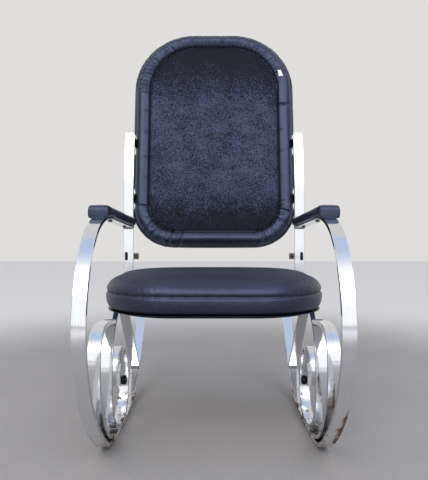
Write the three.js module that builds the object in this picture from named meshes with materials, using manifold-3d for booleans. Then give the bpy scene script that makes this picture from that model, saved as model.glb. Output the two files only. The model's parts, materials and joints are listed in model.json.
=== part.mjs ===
// Scroll-frame rocking chair: two side frames of flat chromed bar, with a padded seat, back and arm rests.
// Millimetres, +Z up, the sitter faces -Y. Left and right are as seen from the front, so left is -X.
import * as THREE from 'three';
import { mergeVertices } from 'three/addons/utils/BufferGeometryUtils.js';
import Module from 'manifold-3d';

const wasm = await Module();
wasm.setup();

// ---------------------------------------------------------------- driving dimensions

const GAP = 0.3;                 // clearance between pieces that touch
const BEND_STEP = 4;             // degrees of bend per facet

const BAR_THICK = 10;            // flat bar, seen edge-on from the side
const BAR_WIDE = 30;             // flat bar, seen from the front
const FRAME_HALF = 280;          // outer face of a side frame, from the middle of the chair

const FLOOR_FLAT = { front: 45, back: 125 };   // flat stretch of the runner, each way from the floor contact
const RAIL_HEIGHT = 332;         // middle of the seat rail
const UPRIGHT_Y = 229;           // middle of the back upright, from the floor contact
const UPRIGHT_TOP = 845;
const ARM_SLOPE = 3.3;           // degrees that the arm rail falls towards the back

const SEAT = { half: 274, front: -234, back: 204, frontRadius: 180, backRadius: 150, bottom: 337, top: 432 };
const SEAT_BOARD = { inset: 6, thick: 12 };
const BACK = { half: 249.2, height: 700, topRadius: 192, bottomRadius: 128, thick: 52, lean: 8.2 };
const BACK_FOOT = { y: 216, z: 492 };      // lowest point of the front of the back cushion
const BACK_BOARD = { inset: 3, thick: 12 };
const BACK_PANEL = { inset: 10, thick: 3 };
const BRACKET = { thick: 4, high: 30, inner: 212, places: [150, 330] };
const ARM_PAD = { wide: 50, front: -204, back: 223, top: 602, slope: 3, round: 14 };
const ARM_BOARD = { wide: 38, front: -176, back: 206, thick: 10 };

const COVER_INSET = 30;          // edge of the dust cover, inside the seat's outline
const COVER_THICK = 0.8;
const BRACKET_CLEAR = 2.5;       // from a bracket to the upright, filled by its weld

const SCREW = { head: 6, headHigh: 3.2, shank: 2.4, length: 20 };
const SIDES = [['left', -1], ['right', 1]];

// ---------------------------------------------------------------- finishes

function finish(color, roughness, metalness) {
  return new THREE.MeshStandardMaterial({ color, roughness, metalness });
}

const CHROME = finish(0xd5d9dd, 0.12, 1);
const STEEL = finish(0x84807a, 0.45, 1);
const RUSTED = finish(0x6d4a31, 0.8, 0.4);
const VINYL = finish(0x15171d, 0.35, 0);
const CLOTH = finish(0x1b1b1c, 0.95, 0);
const PLYWOOD = finish(0xb08a5c, 0.7, 0);

const chair = new THREE.Group();

function add(name, geometry, material, parent = chair) {
  const mesh = new THREE.Mesh(geometry, material);
  mesh.name = name;
  parent.add(mesh);
  return mesh;
}

// ---------------------------------------------------------------- joining and cutting

function toSolid(geometry) {
  const bare = geometry.clone();
  bare.deleteAttribute('normal');
  bare.deleteAttribute('uv');
  const merged = mergeVertices(bare, 1e-3);
  return new wasm.Manifold(new wasm.Mesh({
    numProp: 3,
    vertProperties: Float32Array.from(merged.attributes.position.array),
    triVerts: Uint32Array.from(merged.index.array),
  }));
}

function toGeometry(solid) {
  const mesh = solid.getMesh();
  const geometry = new THREE.BufferGeometry();
  geometry.setAttribute('position', new THREE.BufferAttribute(Float32Array.from(mesh.vertProperties), 3));
  geometry.setIndex(new THREE.BufferAttribute(Uint32Array.from(mesh.triVerts), 1));
  geometry.computeVertexNormals();
  return geometry;
}

function cut(geometry, cutters) {
  const solid = cutters.reduce((rest, cutter) => rest.subtract(toSolid(cutter)), toSolid(geometry));
  return toGeometry(solid);
}

// ---------------------------------------------------------------- flat bar, drawn in the side plane

// A path of straight runs and bends. Headings are in degrees, 0 towards the back (+Y) and 90 upwards.
class BarPath {
  constructor(y, z, heading) {
    this.points = [{ y, z, heading }];
  }

  get end() {
    return this.points[this.points.length - 1];
  }

  line(length) {
    const { y, z, heading } = this.end;
    const angle = THREE.MathUtils.degToRad(heading);
    this.points.push({ y: y + length * Math.cos(angle), z: z + length * Math.sin(angle), heading });
    return this;
  }

  // Runs straight on until the bar reaches a given distance along Y.
  lineToY(y) {
    const angle = THREE.MathUtils.degToRad(this.end.heading);
    return this.line((y - this.end.y) / Math.cos(angle));
  }

  lineToZ(z) {
    const angle = THREE.MathUtils.degToRad(this.end.heading);
    return this.line((z - this.end.z) / Math.sin(angle));
  }

  // Turns by a number of degrees, to the left when it is positive.
  bend(radius, turn) {
    const steps = Math.max(2, Math.ceil(Math.abs(turn) / BEND_STEP));
    const side = Math.sign(turn) * 90;
    const start = this.end;
    const centre = offset(start, side, radius);
    for (let i = 1; i <= steps; i += 1) {
      const heading = start.heading + (turn * i) / steps;
      const spoke = THREE.MathUtils.degToRad(heading - side);
      this.points.push({
        y: centre.y + radius * Math.cos(spoke),
        z: centre.z + radius * Math.sin(spoke),
        heading,
      });
    }
    return this;
  }
}

// The point at a distance from a path point, at an angle to its heading.
function offset({ y, z, heading }, angle, distance) {
  const direction = THREE.MathUtils.degToRad(heading + angle);
  return { y: y + distance * Math.cos(direction), z: z + distance * Math.sin(direction) };
}

function reversed(points) {
  return points.map((point) => ({ ...point, heading: point.heading + 180 })).reverse();
}

// Turns a drawing in the side plane into a solid that runs from one X to another.
function extrudeAcross(shape, xFrom, xTo) {
  const geometry = new THREE.ExtrudeGeometry(shape, { depth: xTo - xFrom, bevelEnabled: false });
  const sideways = new THREE.Matrix4().makeBasis(
    new THREE.Vector3(0, 1, 0), new THREE.Vector3(0, 0, 1), new THREE.Vector3(1, 0, 0));
  return geometry.applyMatrix4(sideways).translate(xFrom, 0, 0);
}

function across(side, width, centre = FRAME_HALF - BAR_WIDE / 2) {
  const middle = side * centre;
  return [middle - width / 2, middle + width / 2];
}

function bandShape(points, left, right) {
  const outline = [
    ...points.map((point) => offset(point, 90, left)),
    ...points.map((point) => offset(point, -90, right)).reverse(),
  ];
  return new THREE.Shape(outline.map(({ y, z }) => new THREE.Vector2(y, z)));
}

function bar(points, side) {
  return extrudeAcross(bandShape(points, BAR_THICK / 2, BAR_THICK / 2), ...across(side, BAR_WIDE));
}

// ---------------------------------------------------------------- the four bars of a side frame

// Front bow, and the arm rail that it ends in, drawn forwards from the floor contact.
const frontBow = new BarPath(0, BAR_THICK / 2, 180)
  .line(FLOOR_FLAT.front)
  .bend(330, -12)
  .bend(140, -18)
  .bend(570, -17)
  .bend(360, -21)
  .bend(242, -65)
  .bend(195, -24)
  .bend(305, -23 - ARM_SLOPE)
  .lineToY(UPRIGHT_Y - BAR_THICK / 2 - GAP - 0.5);

// The rest of the runner and its free tail, drawn backwards from the floor contact.
const tail = new BarPath(0, BAR_THICK / 2, 0)
  .line(FLOOR_FLAT.back)
  .bend(700, 5)
  .bend(350, 39)
  .line(190);

const outerBow = [...reversed(frontBow.points), ...tail.points.slice(1)];

// Inner bow: from the scroll, up round the front and back along the seat rail, then up the back.
const BOW_BOTTOM = { y: 21, z: 1.5 * BAR_THICK + GAP };
const innerFront = new BarPath(BOW_BOTTOM.y, BOW_BOTTOM.z, 180)
  .bend(130, -90)
  .lineToZ(RAIL_HEIGHT - 150)
  .bend(150, -90)
  .lineToY(UPRIGHT_Y - 60)
  .bend(60, 90)
  .lineToZ(640)
  .bend(560, -10)
  .lineToZ(UPRIGHT_TOP - 14)
  .bend(60, -14);

const scroll = new BarPath(BOW_BOTTOM.y, BOW_BOTTOM.z, 0)
  .line(45)
  .bend(75, 90)
  .bend(140, 50)
  .bend(54, 170);

const innerBow = [...reversed(innerFront.points), ...scroll.points.slice(1)];

// Mid bow: leaves the runner, goes up and curls back over the inner bow, just under the seat.
const midBow = new BarPath(-68, 16.6, 170)
  .bend(215, -80)
  .line(15)
  .bend(70, -90)
  .bend(600, -8)
  .lineToY(-65);

// Rear brace: straight from the underside of the seat rail down to the tail.
const BRACE = { y: 120, fall: 45, footGap: 0.8 };

// Where a line through one point, at a heading, meets a line through another.
function crossing(from, heading, to, toHeading) {
  const [a, b] = [THREE.MathUtils.degToRad(heading), THREE.MathUtils.degToRad(toHeading)];
  const run = ((to.y - from.y) * Math.sin(b) - (to.z - from.z) * Math.cos(b)) / Math.sin(b - a);
  return { y: from.y + run * Math.cos(a), z: from.z + run * Math.sin(a), heading };
}

function braceShape() {
  const head = { y: BRACE.y, z: RAIL_HEIGHT - BAR_THICK / 2 - GAP };
  const fall = THREE.MathUtils.degToRad(-BRACE.fall);
  const past = ({ y, z }) => (z - head.z) * Math.cos(fall) - (y - head.y) * Math.sin(fall);
  const landing = tail.points.findIndex((point) => past(point) > 0);
  const [a, b] = tail.points.slice(landing - 1, landing + 1);
  const heading = THREE.MathUtils.radToDeg(Math.atan2(b.z - a.z, b.y - a.y));
  const surface = offset({ ...a, heading }, 90, BAR_THICK / 2 + BRACE.footGap);
  const half = BAR_THICK / 2 / Math.sin(-fall);
  const edges = [head.y - half, head.y + half].map((y) => [{ y, z: head.z },
    crossing({ y, z: head.z }, -BRACE.fall, surface, heading)]);
  return new THREE.Shape([...edges[0], ...edges[1].reverse()].map(({ y, z }) => new THREE.Vector2(y, z)));
}

// ---------------------------------------------------------------- screws and their holes

// A screw that points up along +Z: its domed head hangs below z = 0.
function screwShape() {
  const dome = Array.from({ length: 4 }, (_, i) => {
    const angle = (i / 3) * (Math.PI / 2);
    return new THREE.Vector2(SCREW.head * Math.sin(angle), -GAP - SCREW.headHigh * Math.cos(angle));
  });
  const profile = [...dome,
    new THREE.Vector2(SCREW.shank, -GAP),
    new THREE.Vector2(SCREW.shank, SCREW.length - 3),
    new THREE.Vector2(0, SCREW.length)];
  return latheUp(profile, 12);
}

// A lathe about +Z.
function latheUp(profile, segments) {
  return new THREE.LatheGeometry(profile, segments).rotateX(Math.PI / 2);
}

function screwHole() {
  const radius = SCREW.shank + GAP;
  return new THREE.CylinderGeometry(radius, radius, 2 * SCREW.length + 4, 16).rotateX(Math.PI / 2);
}

// Stands a copy of a screw or its hole under a bar, square to the bar's lower face.
function placed(geometry, x, foot, tilt) {
  return geometry.rotateX(THREE.MathUtils.degToRad(tilt)).translate(x, foot.y, foot.z);
}

// Point on the lower face of the bar at a distance along Y, taken from a straight run of a path.
function under(points, y) {
  const spans = (point, k) => k > 0 && (points[k - 1].y - y) * (point.y - y) <= 0;
  const i = points.findIndex((point, k) => point.z > RAIL_HEIGHT && spans(point, k));
  const [a, b] = [points[i - 1], points[i]];
  const z = a.z + ((b.z - a.z) * (y - a.y)) / (b.y - a.y);
  return { y, z: z - BAR_THICK / 2 };
}

const armScrews = [-60, 150].map((y) => under(frontBow.points, y));
const seatScrews = [56, 152].map((y) => ({ y, z: RAIL_HEIGHT - BAR_THICK / 2 }));

function armHoles(x) {
  return armScrews.map((foot) => placed(screwHole(), x, foot, -ARM_SLOPE));
}

function seatHoles(x) {
  return seatScrews.map((foot) => placed(screwHole(), x, foot, 0));
}

// ---------------------------------------------------------------- one side frame

const FRAME_MIDDLE = FRAME_HALF - BAR_WIDE / 2;
const SEAT_SCREW_X = FRAME_HALF - BAR_WIDE + 9;

function addBars(name, side) {
  add(`outer_bow_${name}`, cut(bar(outerBow, side), armHoles(side * FRAME_MIDDLE)), CHROME);
  add(`inner_bow_${name}`, cut(bar(innerBow, side), seatHoles(side * SEAT_SCREW_X)), CHROME);
  add(`mid_bow_${name}`, bar(midBow.points, side), CHROME);
  add(`rear_brace_${name}`, extrudeAcross(braceShape(), ...across(side, BAR_WIDE)), CHROME);
}

function addScrews(name, side) {
  armScrews.forEach((foot, i) => {
    const screw = placed(screwShape(), side * FRAME_MIDDLE, foot, -ARM_SLOPE);
    add(`arm_screw_${name}_${i + 1}`, screw, STEEL);
  });
  seatScrews.forEach((foot, i) => {
    add(`seat_screw_${name}_${i + 1}`, placed(screwShape(), side * SEAT_SCREW_X, foot, 0), STEEL);
  });
}

// Pin through the eye of the scroll, with a big domed head against the inner face of the bar.
const PIN = { radius: 9, outside: 2, headRadius: 12.5, headHigh: 13, dome: 4 };

function addScrollPin(name, side) {
  const centre = offset(scroll.end, 90, BAR_THICK / 2 + PIN.radius + GAP);
  const face = BAR_WIDE / 2 + GAP;
  const dome = Array.from({ length: 5 }, (_, i) => {
    const angle = (i / 4) * (Math.PI / 2);
    const rim = face + PIN.headHigh - PIN.dome;
    return new THREE.Vector2(i < 4 ? PIN.headRadius * Math.cos(angle) : 0, rim + PIN.dome * Math.sin(angle));
  });
  const outside = -BAR_WIDE / 2 - PIN.outside;
  const profile = [[0, outside], [PIN.radius, outside], [PIN.radius, face], [PIN.headRadius, face]]
    .map(([radius, x]) => new THREE.Vector2(radius, x));
  const pin = new THREE.LatheGeometry([...profile, ...dome], 24).rotateZ(side * Math.PI / 2);
  add(`scroll_pin_${name}`, pin.translate(side * FRAME_MIDDLE, centre.y, centre.z), RUSTED);
}

// ---------------------------------------------------------------- lugs and plugs on the upright

const LUG = { z: 458, high: 19, reach: 16, thick: 6 };

function hexBolt(headRadius, headHigh, shankRadius, shankLong) {
  const head = new THREE.CylinderGeometry(headRadius, headRadius, headHigh, 6).translate(0, -headHigh / 2, 0);
  const shank = new THREE.CylinderGeometry(shankRadius, shankRadius, shankLong, 16);
  shank.translate(0, shankLong / 2, 0);
  return toGeometry(toSolid(head).add(toSolid(shank)));
}

function addLug(name, side) {
  const centre = side * (FRAME_HALF - BAR_WIDE - GAP - LUG.reach / 2);
  const plate = new THREE.BoxGeometry(LUG.reach, LUG.thick, LUG.high);
  const hole = new THREE.CylinderGeometry(3.3, 3.3, 3 * LUG.thick, 16);
  const lug = cut(plate, [hole]).translate(centre, UPRIGHT_Y, LUG.z);
  add(`lug_${name}`, lug, STEEL);
  const bolt = hexBolt(6.5, 4.5, 3, LUG.thick + 9).translate(centre, UPRIGHT_Y - LUG.thick / 2 - GAP, LUG.z);
  add(`lug_bolt_${name}`, bolt, RUSTED);
}

// Oval plug that closes a slot near the outer edge of the upright. Only its head stands out.
function addSlotPlug(name, side) {
  const [high, wide, thick] = [26, 9, 1.6];
  const radius = wide / 2;
  const outline = new THREE.Shape()
    .absarc(0, high / 2 - radius, radius, 0, Math.PI)
    .absarc(0, radius - high / 2, radius, Math.PI, 2 * Math.PI);
  const head = new THREE.ExtrudeGeometry(outline, { depth: thick, bevelEnabled: false, curveSegments: 8 });
  const y = UPRIGHT_Y - BAR_THICK / 2 - GAP;
  add(`slot_plug_${name}`, head.rotateX(Math.PI / 2).translate(side * (FRAME_HALF - 8.5), y, LUG.z), STEEL);
}

// ---------------------------------------------------------------- padded pieces

function roundedOutline(half, bottom, top, bottomRadius, topRadius) {
  return new THREE.Shape()
    .absarc(half - bottomRadius, bottom + bottomRadius, bottomRadius, -Math.PI / 2, 0)
    .absarc(half - topRadius, top - topRadius, topRadius, 0, Math.PI / 2)
    .absarc(topRadius - half, top - topRadius, topRadius, Math.PI / 2, Math.PI)
    .absarc(bottomRadius - half, bottom + bottomRadius, bottomRadius, Math.PI, 1.5 * Math.PI);
}

function slab(outline, thick, round) {
  return new THREE.ExtrudeGeometry(outline, {
    depth: thick - 2 * round,
    bevelEnabled: round > 0,
    bevelThickness: round,
    bevelSize: round,
    bevelOffset: -round,
    bevelSegments: 3,
    curveSegments: 8,
  }).translate(0, 0, round);
}

function seatOutline(inset) {
  return roundedOutline(SEAT.half - inset, SEAT.front + inset, SEAT.back - inset,
    SEAT.frontRadius - inset, SEAT.backRadius - inset);
}

function addSeat() {
  const boardBottom = SEAT.bottom + GAP;
  const holes = SIDES.flatMap(([, side]) => seatHoles(side * SEAT_SCREW_X));
  const board = slab(seatOutline(SEAT_BOARD.inset), SEAT_BOARD.thick, 0).translate(0, 0, boardBottom);
  add('seat_board', cut(board, holes), PLYWOOD);
  const pocket = slab(seatOutline(SEAT_BOARD.inset - GAP), SEAT_BOARD.thick + 2 * GAP, 0);
  pocket.translate(0, 0, boardBottom - GAP);
  const cushion = slab(seatOutline(0), SEAT.top - boardBottom, 18).translate(0, 0, boardBottom);
  add('seat_cushion', cut(cushion, [pocket]), VINYL);
  const cover = slab(seatOutline(COVER_INSET), COVER_THICK, 0);
  add('seat_dust_cover', cover.translate(0, 0, SEAT.bottom - COVER_THICK), CLOTH);
}

// The back is built upright in a group of its own, from its foot, and the group leans back.
const back = new THREE.Group();
back.position.set(0, BACK_FOOT.y, BACK_FOOT.z);
back.rotation.x = THREE.MathUtils.degToRad(-BACK.lean);
chair.add(back);

// A slab of the back, between two depths behind the front of the cushion.
function backSlab(inset, from, to, round) {
  const outline = roundedOutline(BACK.half - inset, inset, BACK.height - inset,
    BACK.bottomRadius - inset, BACK.topRadius - inset);
  return slab(outline, to - from, round).translate(0, 0, -to).rotateX(Math.PI / 2);
}

const BOARD_FRONT = BACK.thick + GAP;
const PANEL_FRONT = BOARD_FRONT + BACK_BOARD.thick + GAP;
const BRACKET_FRONT = PANEL_FRONT + BACK_PANEL.thick + GAP;

// How far the rear face of the upright lies behind the front of the cushion, at a height on the back.
function uprightDepth(height) {
  const lean = THREE.MathUtils.degToRad(BACK.lean);
  const z = BACK_FOOT.z + height * Math.cos(lean);
  const path = innerFront.points;
  const i = path.findIndex((point) => point.y > UPRIGHT_Y - 1 && point.z > z);
  const [a, b] = [path[i - 1], path[i]];
  const y = a.y + ((b.y - a.y) * (z - a.z)) / (b.z - a.z) + BAR_THICK / 2;
  return (y - BACK_FOOT.y - height * Math.sin(lean)) * Math.cos(lean);
}

// A bracket's screw, pushed in from behind.
function bracketScrew(x, height) {
  return screwShape().rotateX(Math.PI / 2).translate(x, BRACKET_FRONT + BRACKET.thick, height);
}

function bracketHole(x, height) {
  return screwHole().rotateX(Math.PI / 2).translate(x, BRACKET_FRONT + BRACKET.thick, height);
}

const BRACKET_SCREW_X = BRACKET.inner + 14;

// Angle bracket: one leg lies flat on the rear panel, the other runs forward to the upright.
function bracket(side, height) {
  const outer = FRAME_HALF - BAR_WIDE + GAP + BRACKET.thick;
  const rear = BRACKET_FRONT + BRACKET.thick;
  const corner = [
    [BRACKET.inner, BRACKET_FRONT],
    [outer - BRACKET.thick, BRACKET_FRONT],
    [outer - BRACKET.thick, uprightDepth(height) + BRACKET_CLEAR],
    [outer, uprightDepth(height) + BRACKET_CLEAR],
    [outer, rear],
    [BRACKET.inner, rear],
  ].map(([x, y]) => new THREE.Vector2(side * x, y));
  const shape = new THREE.Shape(corner);
  const angle = new THREE.ExtrudeGeometry(shape, { depth: BRACKET.high, bevelEnabled: false });
  return angle.translate(0, 0, height - BRACKET.high / 2);
}

function addBack() {
  const places = [-1, 1].flatMap((side) => BRACKET.places.map((height) => [side * BRACKET_SCREW_X, height]));
  const holes = places.map(([x, height]) => bracketHole(x, height));
  add('back_cushion', backSlab(0, 0, BACK.thick, 14), VINYL, back);
  add('back_board', cut(backSlab(BACK_BOARD.inset, BOARD_FRONT, PANEL_FRONT - GAP, 0), holes), PLYWOOD, back);
  add('back_panel', cut(backSlab(BACK_PANEL.inset, PANEL_FRONT, BRACKET_FRONT - GAP, 0), holes), VINYL, back);
  for (const [name, side] of SIDES) {
    BRACKET.places.forEach((height, i) => {
      const x = side * BRACKET_SCREW_X;
      add(`back_bracket_${name}_${i + 1}`, cut(bracket(side, height), [bracketHole(x, height)]), STEEL, back);
      add(`back_screw_${name}_${i + 1}`, bracketScrew(x, height), STEEL, back);
    });
  }
}

// ---------------------------------------------------------------- arm rests

// The stretch of the arm rail between two places along Y, with its ends worked out exactly.
function armStretch(from, to) {
  const rail = frontBow.points.filter((point) => point.z > 450);
  const at = (y) => {
    const i = rail.findIndex((point) => point.y > y);
    const [a, b] = i < 0 ? rail.slice(-2) : [rail[i - 1], rail[i]];
    const t = (y - a.y) / (b.y - a.y);
    return { y, z: a.z + t * (b.z - a.z), heading: a.heading + t * (b.heading - a.heading) };
  };
  return [at(from), ...rail.filter((point) => point.y > from && point.y < to), at(to)];
}

const BED = BAR_THICK / 2 + GAP;      // underside of what lies on the arm rail, above its middle

function armPadShape() {
  const bed = armStretch(ARM_PAD.front, ARM_PAD.back).map((point) => offset(point, 90, BED));
  const slope = Math.tan(THREE.MathUtils.degToRad(ARM_PAD.slope));
  const top = (y) => ARM_PAD.top - (y - ARM_PAD.front) * slope;
  const front = bed[0].y;
  const shape = new THREE.Shape(bed.map(({ y, z }) => new THREE.Vector2(y, z)));
  shape.lineTo(bed[bed.length - 1].y, top(ARM_PAD.back));
  shape.lineTo(front + ARM_PAD.round, top(front + ARM_PAD.round));
  shape.quadraticCurveTo(front, top(front), front, top(front) - ARM_PAD.round);
  return shape;
}

function addArmRest(name, side) {
  const holes = armHoles(side * FRAME_MIDDLE);
  const shape = bandShape(armStretch(ARM_BOARD.front, ARM_BOARD.back), BED + ARM_BOARD.thick, -BED);
  const board = extrudeAcross(shape, ...across(side, ARM_BOARD.wide));
  add(`arm_board_${name}`, cut(board, holes), PLYWOOD);
  const room = armStretch(ARM_BOARD.front - GAP, ARM_BOARD.back + GAP);
  const pocket = extrudeAcross(bandShape(room, BED + ARM_BOARD.thick + GAP, GAP - BED),
    ...across(side, ARM_BOARD.wide + 2 * GAP));
  add(`arm_pad_${name}`, cut(extrudeAcross(armPadShape(), ...across(side, ARM_PAD.wide)), [pocket]), VINYL);
}

// ---------------------------------------------------------------- assembly

for (const [name, side] of SIDES) {
  addBars(name, side);
  addScrews(name, side);
  addScrollPin(name, side);
  addLug(name, side);
  addSlotPlug(name, side);
  addArmRest(name, side);
}
addSeat();
addBack();

chair.updateMatrixWorld(true);
const box = new THREE.Box3().setFromObject(chair);
chair.position.y = -(box.min.y + box.max.y) / 2;

export default chair;
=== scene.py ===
# %% [markdown]
# A rocking chair whose two side frames are flat chromed bar, bent into bows and scrolls, with a padded
# vinyl seat, back and arm rests. The solid model is loaded first. It gives every size and place, and the
# looks are built around it: bars swept smoothly, pads blown up as cloth, welds, screws and stitches.

# %% Load the solid model
import json
import math

import bmesh
import bpy
import numpy as np
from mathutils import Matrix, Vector
from mathutils.kdtree import KDTree


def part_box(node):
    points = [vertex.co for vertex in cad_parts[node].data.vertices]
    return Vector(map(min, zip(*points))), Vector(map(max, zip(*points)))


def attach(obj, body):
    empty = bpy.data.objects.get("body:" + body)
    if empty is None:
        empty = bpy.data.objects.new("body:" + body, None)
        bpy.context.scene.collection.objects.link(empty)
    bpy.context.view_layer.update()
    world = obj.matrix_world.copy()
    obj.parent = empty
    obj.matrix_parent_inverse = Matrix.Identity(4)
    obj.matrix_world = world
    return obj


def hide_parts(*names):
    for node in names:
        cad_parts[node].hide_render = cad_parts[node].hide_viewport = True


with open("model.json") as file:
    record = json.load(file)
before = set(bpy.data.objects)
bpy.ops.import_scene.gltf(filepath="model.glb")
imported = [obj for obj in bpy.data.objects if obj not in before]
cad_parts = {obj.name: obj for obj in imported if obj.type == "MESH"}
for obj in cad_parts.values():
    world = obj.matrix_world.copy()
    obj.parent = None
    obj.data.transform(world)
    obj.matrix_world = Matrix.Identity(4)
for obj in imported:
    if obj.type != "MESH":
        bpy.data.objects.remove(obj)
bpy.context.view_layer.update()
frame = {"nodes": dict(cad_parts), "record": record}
MM = 0.001
BAR_WIDE, BAR_THICK, BAR_MIDDLE = 30 * MM, 10 * MM, 265 * MM
SIDES = ("left", "right")
FLOOR_CONTACT_Y = frame["record"]["mounts"][0]["pos_m"][1] - 40 * MM

# %% [markdown]
# The camera stands level with the lower edge of the back, straight in front, about 1.4 m from the point
# where the runners touch the floor. It looks level, and a small shift sets the chair's place in the frame.

# %% Camera
scene = bpy.context.scene
lens = bpy.data.cameras.new("camera")
lens.lens = 39.3
lens.sensor_width = 36
lens.shift_y = -8 / 480
camera = bpy.data.objects.new("camera", lens)
camera.location = (0, FLOOR_CONTACT_Y - 1.400, 0.533)
camera.rotation_euler = (math.radians(90), 0, 0)
scene.collection.objects.link(camera)
scene.camera = camera
scene.view_settings.view_transform = "Standard"
print("camera at", [round(v, 3) for v in camera.location])

# %% [markdown]
# A few small helpers serve every finish and every node tree. Colours are written as the hex values that a
# paint chart gives, and a shader wants them linear. One function adds any node, with its settings and links.

# %% Colours, nodes and materials
def colour(code):
    """A hex colour such as #14161c as linear red, green, blue and alpha."""
    values = [int(code[i:i + 2], 16) / 255 for i in (1, 3, 5)]
    linear = [v / 12.92 if v <= 0.04045 else ((v + 0.055) / 1.055) ** 2.4 for v in values]
    return (*linear, 1.0)


def add(tree, kind, inputs=None, **settings):
    """Adds a node. inputs maps a socket's name or number to a value or to another node's output."""
    made = tree.nodes.new(kind)
    for name, value in settings.items():
        setattr(made, name, value)
    for socket, value in (inputs or {}).items():
        if isinstance(value, bpy.types.NodeSocket):
            tree.links.new(value, made.inputs[socket])
        else:
            made.inputs[socket].default_value = value
    return made


def new_material(name, **values):
    """A material with a Principled shader, whose plain values are set on its own sockets."""
    made = bpy.data.materials.new(name)
    made.use_nodes = True
    tree = made.node_tree
    tree.nodes.clear()
    shader = add(tree, "ShaderNodeBsdfPrincipled", values)
    add(tree, "ShaderNodeOutputMaterial", {"Surface": shader.outputs[0]})
    return made, tree, shader


def link_all(tree, shader, sources):
    """Links several sources to the shader's sockets by name."""
    for socket, source in sources.items():
        tree.links.new(source, shader.inputs[socket])


# %% [markdown]
# The finish that decides the look is bright chrome plate on polished flat bar. Chrome has almost no colour of
# its own, so it needs something to reflect: a white sky in front, a grey floor, a duller wall behind.
# The plate is slightly wavy from polishing, and drawn out in fine lines along the bar. Near the floor it has
# gone dull and rusty, worst along the edges.

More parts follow.
